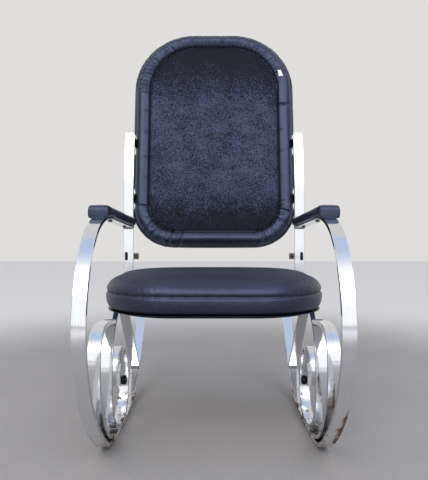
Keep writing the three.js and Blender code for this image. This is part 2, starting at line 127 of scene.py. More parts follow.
# %% Chrome plate
def chrome_plate():
    """Bright nickel-chrome plate on flat bar, with rust near the floor."""
    made, tree, shader = new_material("chrome_plate", **{"Metallic": 1.0, "Roughness": 0.1})
    place = add(tree, "ShaderNodeTexCoord").outputs["Object"]
    xyz = add(tree, "ShaderNodeSeparateXYZ", {0: place})
    along = add(tree, "ShaderNodeAttribute", attribute_name="along", attribute_type="GEOMETRY")
    # Polishing lines: 1.5 mm apart across the bar and 120 mm long.
    grain_at = add(tree, "ShaderNodeCombineXYZ", {
        0: xyz.outputs[0], 1: xyz.outputs[1], 2: along.outputs["Fac"]})
    stretched = add(tree, "ShaderNodeVectorMath", {0: grain_at.outputs[0], 1: (650, 0, 9)},
                    operation="MULTIPLY")
    lines = add(tree, "ShaderNodeTexNoise", {0: stretched.outputs[0], "Scale": 1.0, "Detail": 3.0})
    # Waves left by the polishing belt, about 35 mm long.
    waves = add(tree, "ShaderNodeTexNoise", {"Vector": place, "Scale": 28.0, "Detail": 1.0})
    spots = add(tree, "ShaderNodeTexNoise", {"Vector": place, "Scale": 240.0, "Detail": 5.0, "Roughness": 0.7})
    patches = add(tree, "ShaderNodeTexNoise", {
        "Vector": place, "Scale": 34.0, "Detail": 4.0, "Roughness": 0.65})
    # Rust starts below 260 mm, and first on the last few millimetres at each edge of a bar.
    low = add(tree, "ShaderNodeMapRange", {0: xyz.outputs[2], 1: 0.26, 2: 0.03, 3: -0.20, 4: 0.02})
    across = add(tree, "ShaderNodeMath", {0: xyz.outputs[0]}, operation="ABSOLUTE")
    from_middle = add(tree, "ShaderNodeMath", {0: across.outputs[0], 1: BAR_MIDDLE}, operation="SUBTRACT")
    edge = add(tree, "ShaderNodeMath", {0: from_middle.outputs[0]}, operation="ABSOLUTE")
    at_edge = add(tree, "ShaderNodeMapRange", {0: edge.outputs[0], 1: 0.009, 2: 0.0152, 3: 0.0, 4: 0.10})
    # The front of the right runner stood in the wet, so a brown film covers its outer edge below 200 mm.
    wet = add(tree, "ShaderNodeMapRange", {0: xyz.outputs[0], 1: 0.258, 2: 0.276, 3: 0.0, 4: 0.30})
    splash = add(tree, "ShaderNodeMapRange", {0: xyz.outputs[2], 1: 0.21, 2: 0.14, 3: 0.0, 4: 1.0})
    ahead = add(tree, "ShaderNodeMapRange", {0: xyz.outputs[1], 1: -0.24, 2: -0.30, 3: 0.0, 4: 1.0})
    there = add(tree, "ShaderNodeMath", {0: splash.outputs[0], 1: ahead.outputs[0]}, operation="MULTIPLY")
    film = add(tree, "ShaderNodeMath", {0: wet.outputs[0], 1: there.outputs[0]}, operation="MULTIPLY")
    dirty = add(tree, "ShaderNodeMath", {0: at_edge.outputs[0], 1: film.outputs[0]}, operation="ADD")
    near = add(tree, "ShaderNodeMath", {0: low.outputs[0], 1: dirty.outputs[0]}, operation="ADD")
    both = add(tree, "ShaderNodeMath", {0: near.outputs[0], 1: patches.outputs[0]}, operation="ADD")
    rust = add(tree, "ShaderNodeMapRange", {0: both.outputs[0], 1: 0.60, 2: 0.70})
    specks = add(tree, "ShaderNodeMath", {0: spots.outputs[0], 1: near.outputs[0]}, operation="ADD")
    pits = add(tree, "ShaderNodeMapRange", {0: specks.outputs[0], 1: 0.66, 2: 0.72, 4: 0.8})
    worn = add(tree, "ShaderNodeMath", {0: rust.outputs[0], 1: pits.outputs[0]}, operation="MAXIMUM")
    brown = add(tree, "ShaderNodeMix", {0: spots.outputs[0], 6: colour("#463022"), 7: colour("#80603f")},
                data_type="RGBA")
    plate = add(tree, "ShaderNodeMix", {0: lines.outputs[0], 6: colour("#d4d8dc"), 7: colour("#f1f3f5")},
                data_type="RGBA")
    base = add(tree, "ShaderNodeMix", {0: worn.outputs[0], 6: plate.outputs[2], 7: brown.outputs[2]},
               data_type="RGBA")
    metal = add(tree, "ShaderNodeMapRange", {0: worn.outputs[0], 3: 1.0, 4: 0.25})
    dull = add(tree, "ShaderNodeMapRange", {0: low.outputs[0], 1: -0.1, 2: 0.1, 3: 0.0, 4: 0.12})
    streak = add(tree, "ShaderNodeMapRange", {0: lines.outputs[0], 1: 0.3, 2: 0.75, 3: 0.05, 4: 0.17})
    haze = add(tree, "ShaderNodeMath", {0: streak.outputs[0], 1: dull.outputs[0]}, operation="ADD")
    rough = add(tree, "ShaderNodeMix", {0: worn.outputs[0], 2: haze.outputs[0], 3: 0.7}, data_type="FLOAT")
    wavy = add(tree, "ShaderNodeBump", {"Strength": 0.5, "Distance": 0.0006, "Height": waves.outputs[0]})
    lined = add(tree, "ShaderNodeBump", {"Strength": 0.12, "Distance": 0.0002, "Height": lines.outputs[0],
                                         "Normal": wavy.outputs[0]})
    pitted = add(tree, "ShaderNodeBump", {"Strength": 0.5, "Distance": 0.0004, "Height": worn.outputs[0],
                                          "Normal": lined.outputs[0]})
    link_all(tree, shader, {"Base Color": base.outputs[2], "Metallic": metal.outputs[0],
                            "Roughness": rough.outputs[0], "Normal": pitted.outputs[0]})
    return made


CHROME = chrome_plate()
print("made", CHROME.name)

# %% [markdown]
# A flat bar follows a path and keeps one section, so a sweep is the natural way to make it. The path is not
# drawn again by hand: the solid bar's flat side gives its outline, and the middle between the outline's two
# long edges is the path. Sampled every 5 mm and smoothed a little, it has no corners left to spoil the
# reflections, which bent chrome would show at once.

# %% Paths of the bars
def side_outline(node_name):
    """The outline of a bar's flat side, in order, as (y, z) in metres, and the bar's middle x."""
    mesh = frame["nodes"][node_name].data
    mesh.calc_loop_triangles()
    points = np.array([v.co[:] for v in mesh.vertices])
    side = points[:, 0].max()
    keys = [tuple(k) for k in np.round(points[:, 1:] * 1e5).astype(int)]
    count = {}
    for triangle in mesh.loop_triangles:
        corners = [keys[i] for i in triangle.vertices if abs(points[i, 0] - side) < 1e-5]
        if len(corners) == 3:
            for a, b in zip(corners, corners[1:] + corners[:1]):
                edge = (min(a, b), max(a, b))
                count[edge] = count.get(edge, 0) + 1
    neighbours = {}
    for (a, b), uses in count.items():
        if uses == 1:
            neighbours.setdefault(a, []).append(b)
            neighbours.setdefault(b, []).append(a)
    start = min(neighbours)
    loop, last = [start], None
    while True:
        ahead = [k for k in neighbours[loop[-1]] if k != last]
        last = loop[-1]
        if ahead[0] == start:
            break
        loop.append(ahead[0])
    return np.array(loop) * 1e-5, (points[:, 0].min() + side) / 2


def long_sides(outline):
    """Splits an outline at its four square corners into its two long sides, both in the same direction."""
    after = np.roll(outline, -1, 0) - outline
    before = outline - np.roll(outline, 1, 0)
    turn = before[:, 0] * after[:, 1] - before[:, 1] * after[:, 0]
    straight = np.linalg.norm(before, axis=1) * np.linalg.norm(after, axis=1)
    corners = sorted(np.argsort(-np.abs(turn) / straight)[:4])
    turned = np.roll(outline, -corners[0], 0)
    cuts = [c - corners[0] for c in corners] + [len(outline)]
    turned = np.vstack([turned, turned[:1]])
    runs = [turned[a:b + 1] for a, b in zip(cuts, cuts[1:])]
    lengths = [np.linalg.norm(np.diff(r, axis=0), axis=1).sum() for r in runs]
    first = 0 if lengths[0] > lengths[1] else 1
    return runs[first], runs[first + 2][::-1]


def evenly(points, step):
    """Points along a line, one every step or so, with both ends kept."""
    gone = np.concatenate([[0], np.cumsum(np.linalg.norm(np.diff(points, axis=0), axis=1))])
    at = np.linspace(0, gone[-1], max(2, round(gone[-1] / step) + 1))
    return np.stack([np.interp(at, gone, points[:, k]) for k in range(points.shape[1])], 1)


def smoothed(points, spread):
    """Rounds off a line's small corners. spread is in samples, and the ends stay where they are."""
    reach = int(3 * spread)
    weight = np.exp(-0.5 * (np.arange(-reach, reach + 1) / spread) ** 2)
    weight /= weight.sum()
    head = 2 * points[0] - points[reach:0:-1]
    foot = 2 * points[-1] - points[-2:-reach - 2:-1]
    padded = np.vstack([head, points, foot])
    return np.stack([np.convolve(padded[:, k], weight, "valid") for k in range(points.shape[1])], 1)


def bar_path(node_name):
    """The middle line of a solid bar, as (x, y, z) points in metres."""
    outline, x = side_outline(node_name)
    left, right = long_sides(outline)
    ends = [(left[0] + right[0]) / 2, (left[-1] + right[-1]) / 2]
    if len(left) == 2:
        line = np.array(ends)
    else:
        left, right = evenly(left, 5 * MM), evenly(right, 1 * MM)
        nearest = np.array([right[np.argmin(((right - p) ** 2).sum(1))] for p in left])
        line = np.vstack([ends[0], ((left + nearest) / 2)[2:-2], ends[1]])
        line = smoothed(evenly(line, 5 * MM), 1.5)
    return np.column_stack([np.full(len(line), x), line])


BARS = ("outer_bow", "inner_bow", "mid_bow", "rear_brace")
PATHS = {f"{bar}_{side}": bar_path(f"{bar}_{side}") for bar in BARS for side in SIDES}
for name, path in PATHS.items():
    print(name, len(path), "points,", round(np.linalg.norm(np.diff(path, axis=0), axis=1).sum(), 3), "m")

# %% [markdown]
# A node tree works on geometry the way a jig works on stock: the same steps run on whatever path it is given.
# The helpers below start a tree with named inputs, hang it on an object with values for those inputs, and
# turn the result into a plain mesh. A sharp edge stays sharp, and flat faces are shaded flat up to their
# rounded edges.

# %% Trees, line objects and plain meshes
def new_tree(name, inputs):
    """A geometry tree with one geometry in and out, and named inputs: (name, socket type, default)."""
    tree = bpy.data.node_groups.new(name, "GeometryNodeTree")
    tree.interface.new_socket(name="Geometry", in_out="INPUT", socket_type="NodeSocketGeometry")
    tree.interface.new_socket(name="Geometry", in_out="OUTPUT", socket_type="NodeSocketGeometry")
    for label, kind, default in inputs:
        socket = tree.interface.new_socket(name=label, in_out="INPUT", socket_type=kind)
        if default is not None:
            socket.default_value = default
    return tree, add(tree, "NodeGroupInput")


def end_tree(tree, geometry, material):
    """Every tree ends with real geometry and its material."""
    real = add(tree, "GeometryNodeRealizeInstances", {"Geometry": geometry})
    finished = add(tree, "GeometryNodeSetMaterial", {"Geometry": real.outputs[0], "Material": material})
    add(tree, "NodeGroupOutput", {"Geometry": finished.outputs[0]})


def new_object(name, mesh):
    """A new object in the scene, at the origin."""
    made = bpy.data.objects.new(name, mesh)
    scene.collection.objects.link(made)
    return made


def line_object(name, lines, closed=False):
    """A mesh of edges only, one chain for each list of points."""
    points, edges = [], []
    for line in lines:
        first = len(points)
        points += [tuple(p) for p in line]
        edges += [(i, i + 1) for i in range(first, len(points) - 1)]
        if closed:
            edges.append((len(points) - 1, first))
    mesh = bpy.data.meshes.new(name)
    mesh.from_pydata(points, edges, [])
    return new_object(name, mesh)


def made_plain(piece):
    """Turns what a piece's modifiers make into its own plain mesh."""
    graph = bpy.context.evaluated_depsgraph_get()
    mesh = bpy.data.meshes.new_from_object(piece.evaluated_get(graph))
    piece.modifiers.clear()
    piece.data = mesh
    mesh.name = piece.name
    return piece


def run_tree(piece, tree, values):
    """Hangs a tree on a piece, sets its named inputs, and keeps the result as a plain mesh."""
    modifier = piece.modifiers.new("tree", "NODES")
    modifier.node_group = tree
    for item in tree.interface.items_tree:
        if item.in_out == "INPUT" and item.name in values:
            modifier[item.identifier] = values[item.name]
    return made_plain(piece)


def crisp(piece, angle=40):
    """Smooth shading that stops at sharp edges and keeps flat faces flat."""
    piece.data.polygons.foreach_set("use_smooth", [True] * len(piece.data.polygons))
    piece.data.set_sharp_from_angle(angle=math.radians(angle))
    weighted = piece.modifiers.new("weighted", "WEIGHTED_NORMAL")
    weighted.keep_sharp = True
    return made_plain(piece)


def placed(piece, slot, *nodes):
    """Rides on the chair and stands for solid nodes. Its slot is not used."""
    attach(piece, "root")
    if nodes:
        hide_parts(*nodes)
    faces = len(piece.data.polygons)
    print(piece.name, faces, "faces, stands for", ", ".join(nodes) if nodes else "nothing")
    return piece

# %% [markdown]
# The sweep itself: a rectangle 30 by 10 mm with its edges rounded by 1.5 mm, drawn along the path. The tree
# also stores how far along the bar each point lies, because the polishing lines in the plate follow the bar.

# %% Sweep the flat bars
def flat_bar_tree():
    """The sweep of a rounded rectangle along a line, marked with the distance along it."""
    tree, given = new_tree("flat_bar", [
        ("Width", "NodeSocketFloat", BAR_WIDE), ("Thickness", "NodeSocketFloat", BAR_THICK),
        ("Edge radius", "NodeSocketFloat", 1.5 * MM), ("Material", "NodeSocketMaterial", None)])
    path = add(tree, "GeometryNodeMeshToCurve", {0: given.outputs["Geometry"]})
    length = add(tree, "GeometryNodeSplineParameter").outputs["Length"]
    marked = add(tree, "GeometryNodeStoreNamedAttribute", {
        "Geometry": path.outputs[0], "Name": "along", "Value": length}, domain="POINT")
    section = add(tree, "GeometryNodeCurvePrimitiveQuadrilateral", {
        "Width": given.outputs["Width"], "Height": given.outputs["Thickness"]})
    rounded = add(tree, "GeometryNodeFilletCurve", {
        0: section.outputs[0], "Radius": given.outputs["Edge radius"], "Count": 3}, mode="POLY")
    swept = add(tree, "GeometryNodeCurveToMesh", {
        "Curve": marked.outputs[0], "Profile Curve": rounded.outputs[0], "Fill Caps": True})
    end_tree(tree, swept.outputs[0], given.outputs["Material"])
    return tree


FLAT_BAR = flat_bar_tree()
for name, path in PATHS.items():
    swept = run_tree(line_object(name + "_bar", [path]), FLAT_BAR, {"Material": CHROME})
    placed(crisp(swept), "chrome", name)
    low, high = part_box(name)
    new = np.array([v.co[:] for v in swept.data.vertices])
    off = (new.min(0) - low) / MM, (new.max(0) - high) / MM
    print("  off the solid by mm", *np.round(off, 1))

# %% [markdown]
# The covers are black vinyl: PVC leathercloth, a soft plastic skin on a knitted back. Its grain is a
# pressed leather pattern about 1.5 mm across. Age has left it satin and scuffed in specks, and its shine is
# tinted blue as a painted reflection of a blue sky. On the middle of the back the skin has crazed into small
# flakes, so that panel is a duller, blotchy grey with black cracks, darkest at its top and bottom; the blue
# in that grey is a painted reflection of the sky as well.

# %% Vinyl
def leather_grain(tree, place):
    """The bump of a pressed grain in cells of 1.5 mm, over soft dents 12 mm apart in slack skin."""
    grain = add(tree, "ShaderNodeTexVoronoi", {"Vector": place, "Scale": 660.0}, feature="DISTANCE_TO_EDGE")
    pressed = add(tree, "ShaderNodeMapRange", {0: grain.outputs[0], 1: 0.0, 2: 0.25},
                  interpolation_type="SMOOTHSTEP")
    slack = add(tree, "ShaderNodeTexNoise", {"Vector": place, "Scale": 85.0, "Detail": 2.0})
    soft = add(tree, "ShaderNodeBump", {"Strength": 0.45, "Distance": 0.0018, "Height": slack.outputs[0]})
    return add(tree, "ShaderNodeBump", {"Strength": 0.35, "Distance": 0.0003, "Height": pressed.outputs[0],
                                        "Normal": soft.outputs[0]})


def black_leathercloth():
    """Black leathercloth with a pressed grain. Where the attribute "worn" is 1 it is dull and speckled."""
    # The blue specular tint is a painted reflection: it tints every shine of the black vinyl blue, as a blue
    # sky would.
    made, tree, shader = new_material("black_leathercloth", **{
        "Specular IOR Level": 1.0, "Specular Tint": colour("#b8c8f6"), "IOR": 1.52})
    place = add(tree, "ShaderNodeTexCoord").outputs["Object"]
    worn = add(tree, "ShaderNodeAttribute", attribute_name="worn", attribute_type="GEOMETRY").outputs["Fac"]
    dust = add(tree, "ShaderNodeTexNoise", {"Vector": place, "Scale": 300.0, "Detail": 3.0, "Roughness": 0.7})
    cloud = add(tree, "ShaderNodeTexNoise", {"Vector": place, "Scale": 9.0, "Detail": 3.0})
    much = add(tree, "ShaderNodeMapRange", {0: worn, 3: 0.18, 4: 0.75})
    speck = add(tree, "ShaderNodeMapRange", {0: dust.outputs[0], 1: 0.60, 2: 0.74, 4: much.outputs[0]})
    tone = add(tree, "ShaderNodeMix", {0: cloud.outputs[0], 6: colour("#0d1016"), 7: colour("#1b202b")},
               data_type="RGBA")
    base = add(tree, "ShaderNodeMix", {0: speck.outputs[0], 6: tone.outputs[2], 7: colour("#4e545f")},
               data_type="RGBA")
    shine = add(tree, "ShaderNodeMapRange", {0: cloud.outputs[0], 1: 0.3, 2: 0.7, 3: 0.27, 4: 0.38})
    rough = add(tree, "ShaderNodeMix", {0: worn, 2: shine.outputs[0], 3: 0.62}, data_type="FLOAT")
    bump = leather_grain(tree, place)
    link_all(tree, shader, {"Base Color": base.outputs[2], "Roughness": rough.outputs[0],
                            "Normal": bump.outputs[0]})
    return made


def crazed_leathercloth():
    """Leathercloth broken into flakes of 3 to 4 mm. Grey where it is whole, tinted blue by painted sky light,
    black in the cracks.
    """
    # The blue specular tint is a painted reflection of a blue sky.
    made, tree, shader = new_material("crazed_leathercloth", **{
        "Specular IOR Level": 0.35, "Specular Tint": colour("#b4c6f8"), "IOR": 1.5})
    place = add(tree, "ShaderNodeTexCoord").outputs["Object"]
    height = add(tree, "ShaderNodeSeparateXYZ", {0: place}).outputs[2]
    bent = add(tree, "ShaderNodeTexNoise", {"Vector": place, "Scale": 120.0, "Detail": 3.0})
    shaken = add(tree, "ShaderNodeVectorMath", {0: bent.outputs["Color"], 1: (0.006, 0.006, 0.006), 2: place},
                 operation="MULTIPLY_ADD")
    flakes = add(tree, "ShaderNodeTexVoronoi", {"Vector": shaken.outputs[0], "Scale": 230.0},
                 feature="DISTANCE_TO_EDGE")
    blotch = add(tree, "ShaderNodeTexNoise", {"Vector": place, "Scale": 16.0, "Detail": 4.0, "Roughness": 0.6})
    fine = add(tree, "ShaderNodeTexNoise", {"Vector": place, "Scale": 210.0, "Detail": 4.0, "Roughness": 0.8})
    # Blacker in the top 180 mm and in the bottom 80 mm.
    top = add(tree, "ShaderNodeMapRange", {0: height, 1: 0.93, 2: 1.10, 3: 0.0, 4: 0.20})
    foot = add(tree, "ShaderNodeMapRange", {0: height, 1: 0.66, 2: 0.57, 3: 0.0, 4: 0.16})
    ends = add(tree, "ShaderNodeMath", {0: top.outputs[0], 1: foot.outputs[0]}, operation="ADD")
    cracks = add(tree, "ShaderNodeMapRange", {0: flakes.outputs[0], 1: 0.02, 2: 0.14, 3: 0.12, 4: 0.0})
    blotch_and_ends = add(tree, "ShaderNodeMath", {0: blotch.outputs[0], 1: 0.20, 2: ends.outputs[0]},
                operation="MULTIPLY_ADD")
    grit = add(tree, "ShaderNodeMath", {0: fine.outputs[0], 1: cracks.outputs[0]}, operation="ADD")
    summed = add(tree, "ShaderNodeMath", {0: blotch_and_ends.outputs[0], 1: grit.outputs[0]}, operation="ADD")
    black = add(tree, "ShaderNodeMapRange", {0: summed.outputs[0], 1: 0.57, 2: 0.74})
    # The flakes' grey is their own; its blue cast is painted sky light, a painted reflection.
    flake_grey_with_painted_sky = add(tree, "ShaderNodeMix", {0: blotch.outputs[0], 6: colour("#4a5872"), 7: colour("#3c4555")},
              data_type="RGBA")
    base = add(tree, "ShaderNodeMix", {0: black.outputs[0], 6: flake_grey_with_painted_sky.outputs[2], 7: colour("#0f0f0d")},
               data_type="RGBA")
    rough = add(tree, "ShaderNodeMapRange", {0: black.outputs[0], 3: 0.50, 4: 0.72})
    lifted = add(tree, "ShaderNodeBump", {"Strength": 0.7, "Distance": 0.0009, "Height": black.outputs[0],
                                          "Normal": leather_grain(tree, place).outputs[0]}, invert=True)
    link_all(tree, shader, {"Base Color": base.outputs[2], "Roughness": rough.outputs[0],
                            "Normal": lifted.outputs[0]})
    return made


VINYL, CRAZED = black_leathercloth(), crazed_leathercloth()
print("made", VINYL.name, "and", CRAZED.name)

# %% [markdown]
# A pad is foam under a tight cover, and it takes its shape from being blown up against its own seams. That
# is what the cloth simulation does: a slightly smaller block is remeshed evenly, its seams and its flat
# underside are held, and air pressure swells the rest. No point may move further than a limit, and the
# result is stretched to fill the solid pad's box exactly.

# %% Blow up a pad
def block(name, layers):
    """A solid through a stack of outlines, given as (list of (u, v) points, level) from the bottom up."""
    count = len(layers[0][0])
    points = [(u, v, level) for outline, level in layers for u, v in outline]
    top = count * (len(layers) - 1)
    faces = [tuple(range(count - 1, -1, -1)), tuple(range(top, top + count))]
    for base in range(0, top, count):
        faces += [(base + i, base + (i + 1) % count, base + count + (i + 1) % count, base + count + i)
                  for i in range(count)]
    mesh = bpy.data.meshes.new(name)
    mesh.from_pydata(points, [], faces)
    return new_object(name, mesh)


def points_of(piece):
    """A piece's points as an array, one row each."""
    found = np.empty(len(piece.data.vertices) * 3)
    piece.data.vertices.foreach_get("co", found)
    return found.reshape(-1, 3)


def move_points(piece, points):
    """Puts a piece's points in new places."""
    piece.data.vertices.foreach_set("co", points.ravel())
    piece.data.update()


def normals_of(piece):
    """The way each point of a piece faces."""
    return np.array([v.normal[:] for v in piece.data.vertices])


def inflated(piece, voxel, held, limit, pressure=4.0, frames=20):
    """Swells a block as cloth. held gives how firmly each point is held, from 0 to 1."""
    remesh = piece.modifiers.new("even", "REMESH")
    remesh.mode = "VOXEL"
    remesh.voxel_size = voxel
    made_plain(piece)
    calm = piece.modifiers.new("calm", "SMOOTH")
    calm.factor, calm.iterations = 0.5, 6
    made_plain(piece)
    start = points_of(piece)
    weights = held(start)
    group = piece.vertex_groups.new(name="held")
    for level in (0.25, 0.5, 0.75, 1.0):
        chosen = np.nonzero(np.abs(weights - level) <= 0.125)[0]
        group.add([int(i) for i in chosen], level, "REPLACE")
    cloth = piece.modifiers.new("cloth", "CLOTH")
    cloth.settings.use_pressure = True
    cloth.settings.uniform_pressure_force = pressure
    cloth.settings.effector_weights.gravity = 0
    cloth.settings.vertex_group_mass = "held"
    cloth.settings.tension_stiffness = 12
    cloth.settings.compression_stiffness = 12
    cloth.settings.quality = 4
    cloth.point_cache.frame_end = frames
    for step in range(1, frames + 1):
        scene.frame_set(step)
    made_plain(piece)
    scene.frame_set(1)
    moved = points_of(piece) - start
    far = np.linalg.norm(moved, axis=1)
    scale = np.minimum(1, limit / np.maximum(far, 1e-9))
    move_points(piece, start + moved * scale[:, None])
    print(piece.name, len(start), "points swelled by up to", round(min(far.max(), limit) * 1000, 1), "mm")
    return piece


def fill_box(piece, low, high):
    """Stretches a piece to fill a box exactly."""
    points = points_of(piece)
    low, high = np.array(low), np.array(high)
    span = points.max(0) - points.min(0)
    move_points(piece, low + (points - points.min(0)) * (high - low) / span)


def mark(piece, name, values):
    """Stores a number at every point of a piece, for its material to read."""
    layer = piece.data.attributes.new(name, "FLOAT", "POINT")
    layer.data.foreach_set("value", values.astype(np.float32))


def finer(piece):
    """Splits every face in four and rounds the result."""
    once = piece.modifiers.new("finer", "SUBSURF")
    once.levels = once.render_levels = 1
    return made_plain(piece)

# %% [markdown]
# The seat and the back share one kind of outline: a rectangle with two corner radii. Two functions describe
# it: one draws it, and one tells how far a point lies inside (negative) or outside it.

# %% Outlines with round corners
def round_outline(half, low, high, low_radius, high_radius, steps=24):
    """Points round a rectangle with rounded corners, anticlockwise from its lower right corner."""
    corners = ((half - low_radius, low + low_radius, low_radius, -90),
               (half - high_radius, high - high_radius, high_radius, 0),
               (high_radius - half, high - high_radius, high_radius, 90),
               (low_radius - half, low + low_radius, low_radius, 180))
    points = []
    for u, v, radius, start in corners:
        for i in range(steps + 1):
            angle = math.radians(start + 90 * i / steps)
            points.append((u + radius * math.cos(angle), v + radius * math.sin(angle)))
    return points


def outside_by(points, half, low, high, low_radius, high_radius):
    """Distance of each (u, v) point outside the rounded rectangle, negative inside."""
    middle = (low + high) / 2
    radius = np.where(points[:, 1] > middle, high_radius, low_radius)
    reach = np.abs(np.column_stack([points[:, 0], points[:, 1] - middle])) - [half, (high - low) / 2]
    reach = reach + radius[:, None]
    return np.linalg.norm(np.maximum(reach, 0), axis=1) + np.minimum(reach.max(1), 0) - radius


def measured(outline):
    """A closed outline as points 2 mm apart, with how far round it each of them lies."""
    dense = evenly(np.array(list(outline) + [outline[0]]), 2 * MM)
    return dense, np.concatenate([[0], np.cumsum(np.linalg.norm(np.diff(dense, axis=0), axis=1))])


def around(points, outline):
    """How far round an outline each point lies, and how long the whole outline is."""
    dense, gone = measured(outline)
    tree = KDTree(len(dense))
    for i, (u, v) in enumerate(dense):
        tree.insert((u, v, 0), i)
    tree.balance()
    index = np.array([tree.find((u, v, 0))[1] for u, v in points])
    return gone[index], gone[-1]


def gathers(place, length, depth_in, folds):
    """How deep each point sinks in creases across a seam. A fold is (place, width, reach, depth, slant)."""
    sunk = np.zeros(len(place))
    for at, width, reach, depth, slant in folds:
        off = (place - at - slant * depth_in + length / 2) % length - length / 2
        near = np.abs(off) < 4 * width
        shape = np.exp(-(off[near] / width) ** 2) * np.clip(1 - depth_in[near] / reach, 0, 1) ** 0.7
        sunk[near] = np.maximum(sunk[near], depth * shape)
    return sunk

# %% [markdown]
# The seat is one thick pad with large round corners, sewn round its middle height: above the seam the cover
# rolls over to the top, below it runs down to the board. The middle of the top has been sat in and dips a
# little. The seam itself is a groove, made after the swelling, with small puckers.

# %% Seat pad
SEAT_LOW, SEAT_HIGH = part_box("seat_cushion")
SEAT_HALF = SEAT_HIGH.x
SEAT_SHAPE = dict(half=SEAT_HALF, low=SEAT_LOW.y, high=SEAT_HIGH.y, low_radius=0.180, high_radius=0.150)
SEAT_SEAM_Z = 0.387
# How far the pad's side lies inside its outline, at heights above its foot, before it is blown up.
SEAT_PROFILE = [(0.022, 0), (0.012, 0.006), (0.007, 0.018), (0.005, 0.034), (0.006, 0.050), (0.008, 0.058),
                (0.014, 0.069), (0.024, 0.079), (0.038, 0.086), (0.060, 0.090)]


def shrunk(shape, by):
    """The same outline, drawn in by a distance all round."""
    return dict(half=shape["half"] - by, low=shape["low"] + by, high=shape["high"] - by,
                low_radius=shape["low_radius"] - by, high_radius=shape["high_radius"] - by)


def seat_held(points):
    """The seat is held at its foot and along its seam."""
    foot = np.clip((SEAT_LOW.z + 0.012 - points[:, 2]) / 0.006, 0, 1)
    rim = outside_by(points[:, :2], **shrunk(SEAT_SHAPE, 0.006)) > -0.005
    seam = rim & (np.abs(points[:, 2] - SEAT_SEAM_Z) < 0.003)
    return np.maximum(np.round(foot * 4) / 4, np.where(seam, 1.0, 0.0))


def seat_details(piece, rng):
    """Presses the seam's groove, its puckers and the dip from sitting into the seat."""
    points, normals = points_of(piece), normals_of(piece)
    outline = round_outline(**SEAT_SHAPE)
    place, length = around(points[:, :2], outline)
    rim = np.clip((np.linalg.norm(normals[:, :2], axis=1) - 0.3) / 0.4, 0, 1)
    above = points[:, 2] - SEAT_SEAM_Z
    groove = 0.0045 * np.exp(-(above / 0.0042) ** 2) * rim
    folds = [(rng.uniform(0, length), rng.uniform(0.0018, 0.004), rng.uniform(0.010, 0.030),
              rng.uniform(0.0004, 0.0011), rng.uniform(-0.5, 0.5)) for _ in range(130)]
    puckers = gathers(place, length, np.abs(above), folds) * rim
    from_middle = (points[:, 0] / 0.20) ** 2 + ((points[:, 1] + 0.10) / 0.17) ** 2
    top = np.clip((normals[:, 2] - 0.5) / 0.4, 0, 1)
    points[:, 2] -= 0.007 * np.exp(-from_middle) * top
    move_points(piece, points - normals * (groove + puckers)[:, None])
    mark(piece, "worn", np.clip((normals[:, 2] - 0.55) / 0.4, 0, 1))


def seat_pad():
    """The seat: a block blown up, with its seam, which stands for the cushion and its board."""
    body = block("seat_pad", [(round_outline(**shrunk(SEAT_SHAPE, inset)), SEAT_LOW.z + up)
                              for inset, up in SEAT_PROFILE])
    inflated(body, 5.5 * MM, seat_held, 22 * MM, pressure=0.9, frames=14)
    fill_box(body, SEAT_LOW, (SEAT_HIGH.x, SEAT_HIGH.y, SEAT_HIGH.z + 0.004))
    finer(body)
    seat_details(body, np.random.default_rng(11))
    body.data.materials.append(VINYL)
    crisp(body, 180)
    placed(body, "vinyl", "seat_cushion", "seat_board")
    return body


seat = seat_pad()

# %% [markdown]
# The back is worked flat and then leaned. Its own directions are x across, d deep (from the front of the pad
# to the board) and h up from its foot. A seam runs 45 mm inside the edge. Outside it the cover is a fat
# roll, and inside it lies a flatter panel, set back. Where the roll's cover goes round the top corners it
# is gathered, so short folds run across it from the seam. The straight sides have few. The cover goes on
# round the edge of the board behind the foam, so the pad stands for the board as well.

# %% Back pad
LEAN = math.radians(8.2)
BACK_FOOT = Vector((0, FLOOR_CONTACT_Y + 0.216, 0.492))
BACK_SHAPE = dict(half=0.2492, low=0.0, high=0.700, low_radius=0.128, high_radius=0.192)
BACK_DEEP = 0.0635
# How far the pad's side lies inside its outline, at depths behind its front, before it is blown up.
BACK_PROFILE = [(0.011, 0.0635), (0.006, 0.055), (0.005, 0.030), (0.008, 0.019), (0.014, 0.011),
                (0.022, 0.007)]
SEAM_IN = 0.045
BRACKET_HEIGHTS, BRACKET_LEG = (0.150, 0.330), 0.2498


def leaned(points):
    """From the back's own x, d, h to the chair's x, y, z."""
    x, d, h = points[:, 0], points[:, 1], points[:, 2]
    y = BACK_FOOT.y + d * math.cos(LEAN) + h * math.sin(LEAN)
    z = BACK_FOOT.z - d * math.sin(LEAN) + h * math.cos(LEAN)
    return np.column_stack([x, y, z])


def off_seam(points):
    """How far each point of the back lies outside its front seam."""
    return outside_by(points[:, [0, 2]], **shrunk(BACK_SHAPE, SEAM_IN))


def back_held(points):
    """The back is held at the board and along its front seam."""
    rear = np.clip((points[:, 1] - BACK_DEEP + 0.012) / 0.006, 0, 1)
    seam = (np.abs(off_seam(points)) < 0.004) & (points[:, 1] < 0.03)
    return np.maximum(np.round(rear * 4) / 4, np.where(seam, 1.0, 0.0))


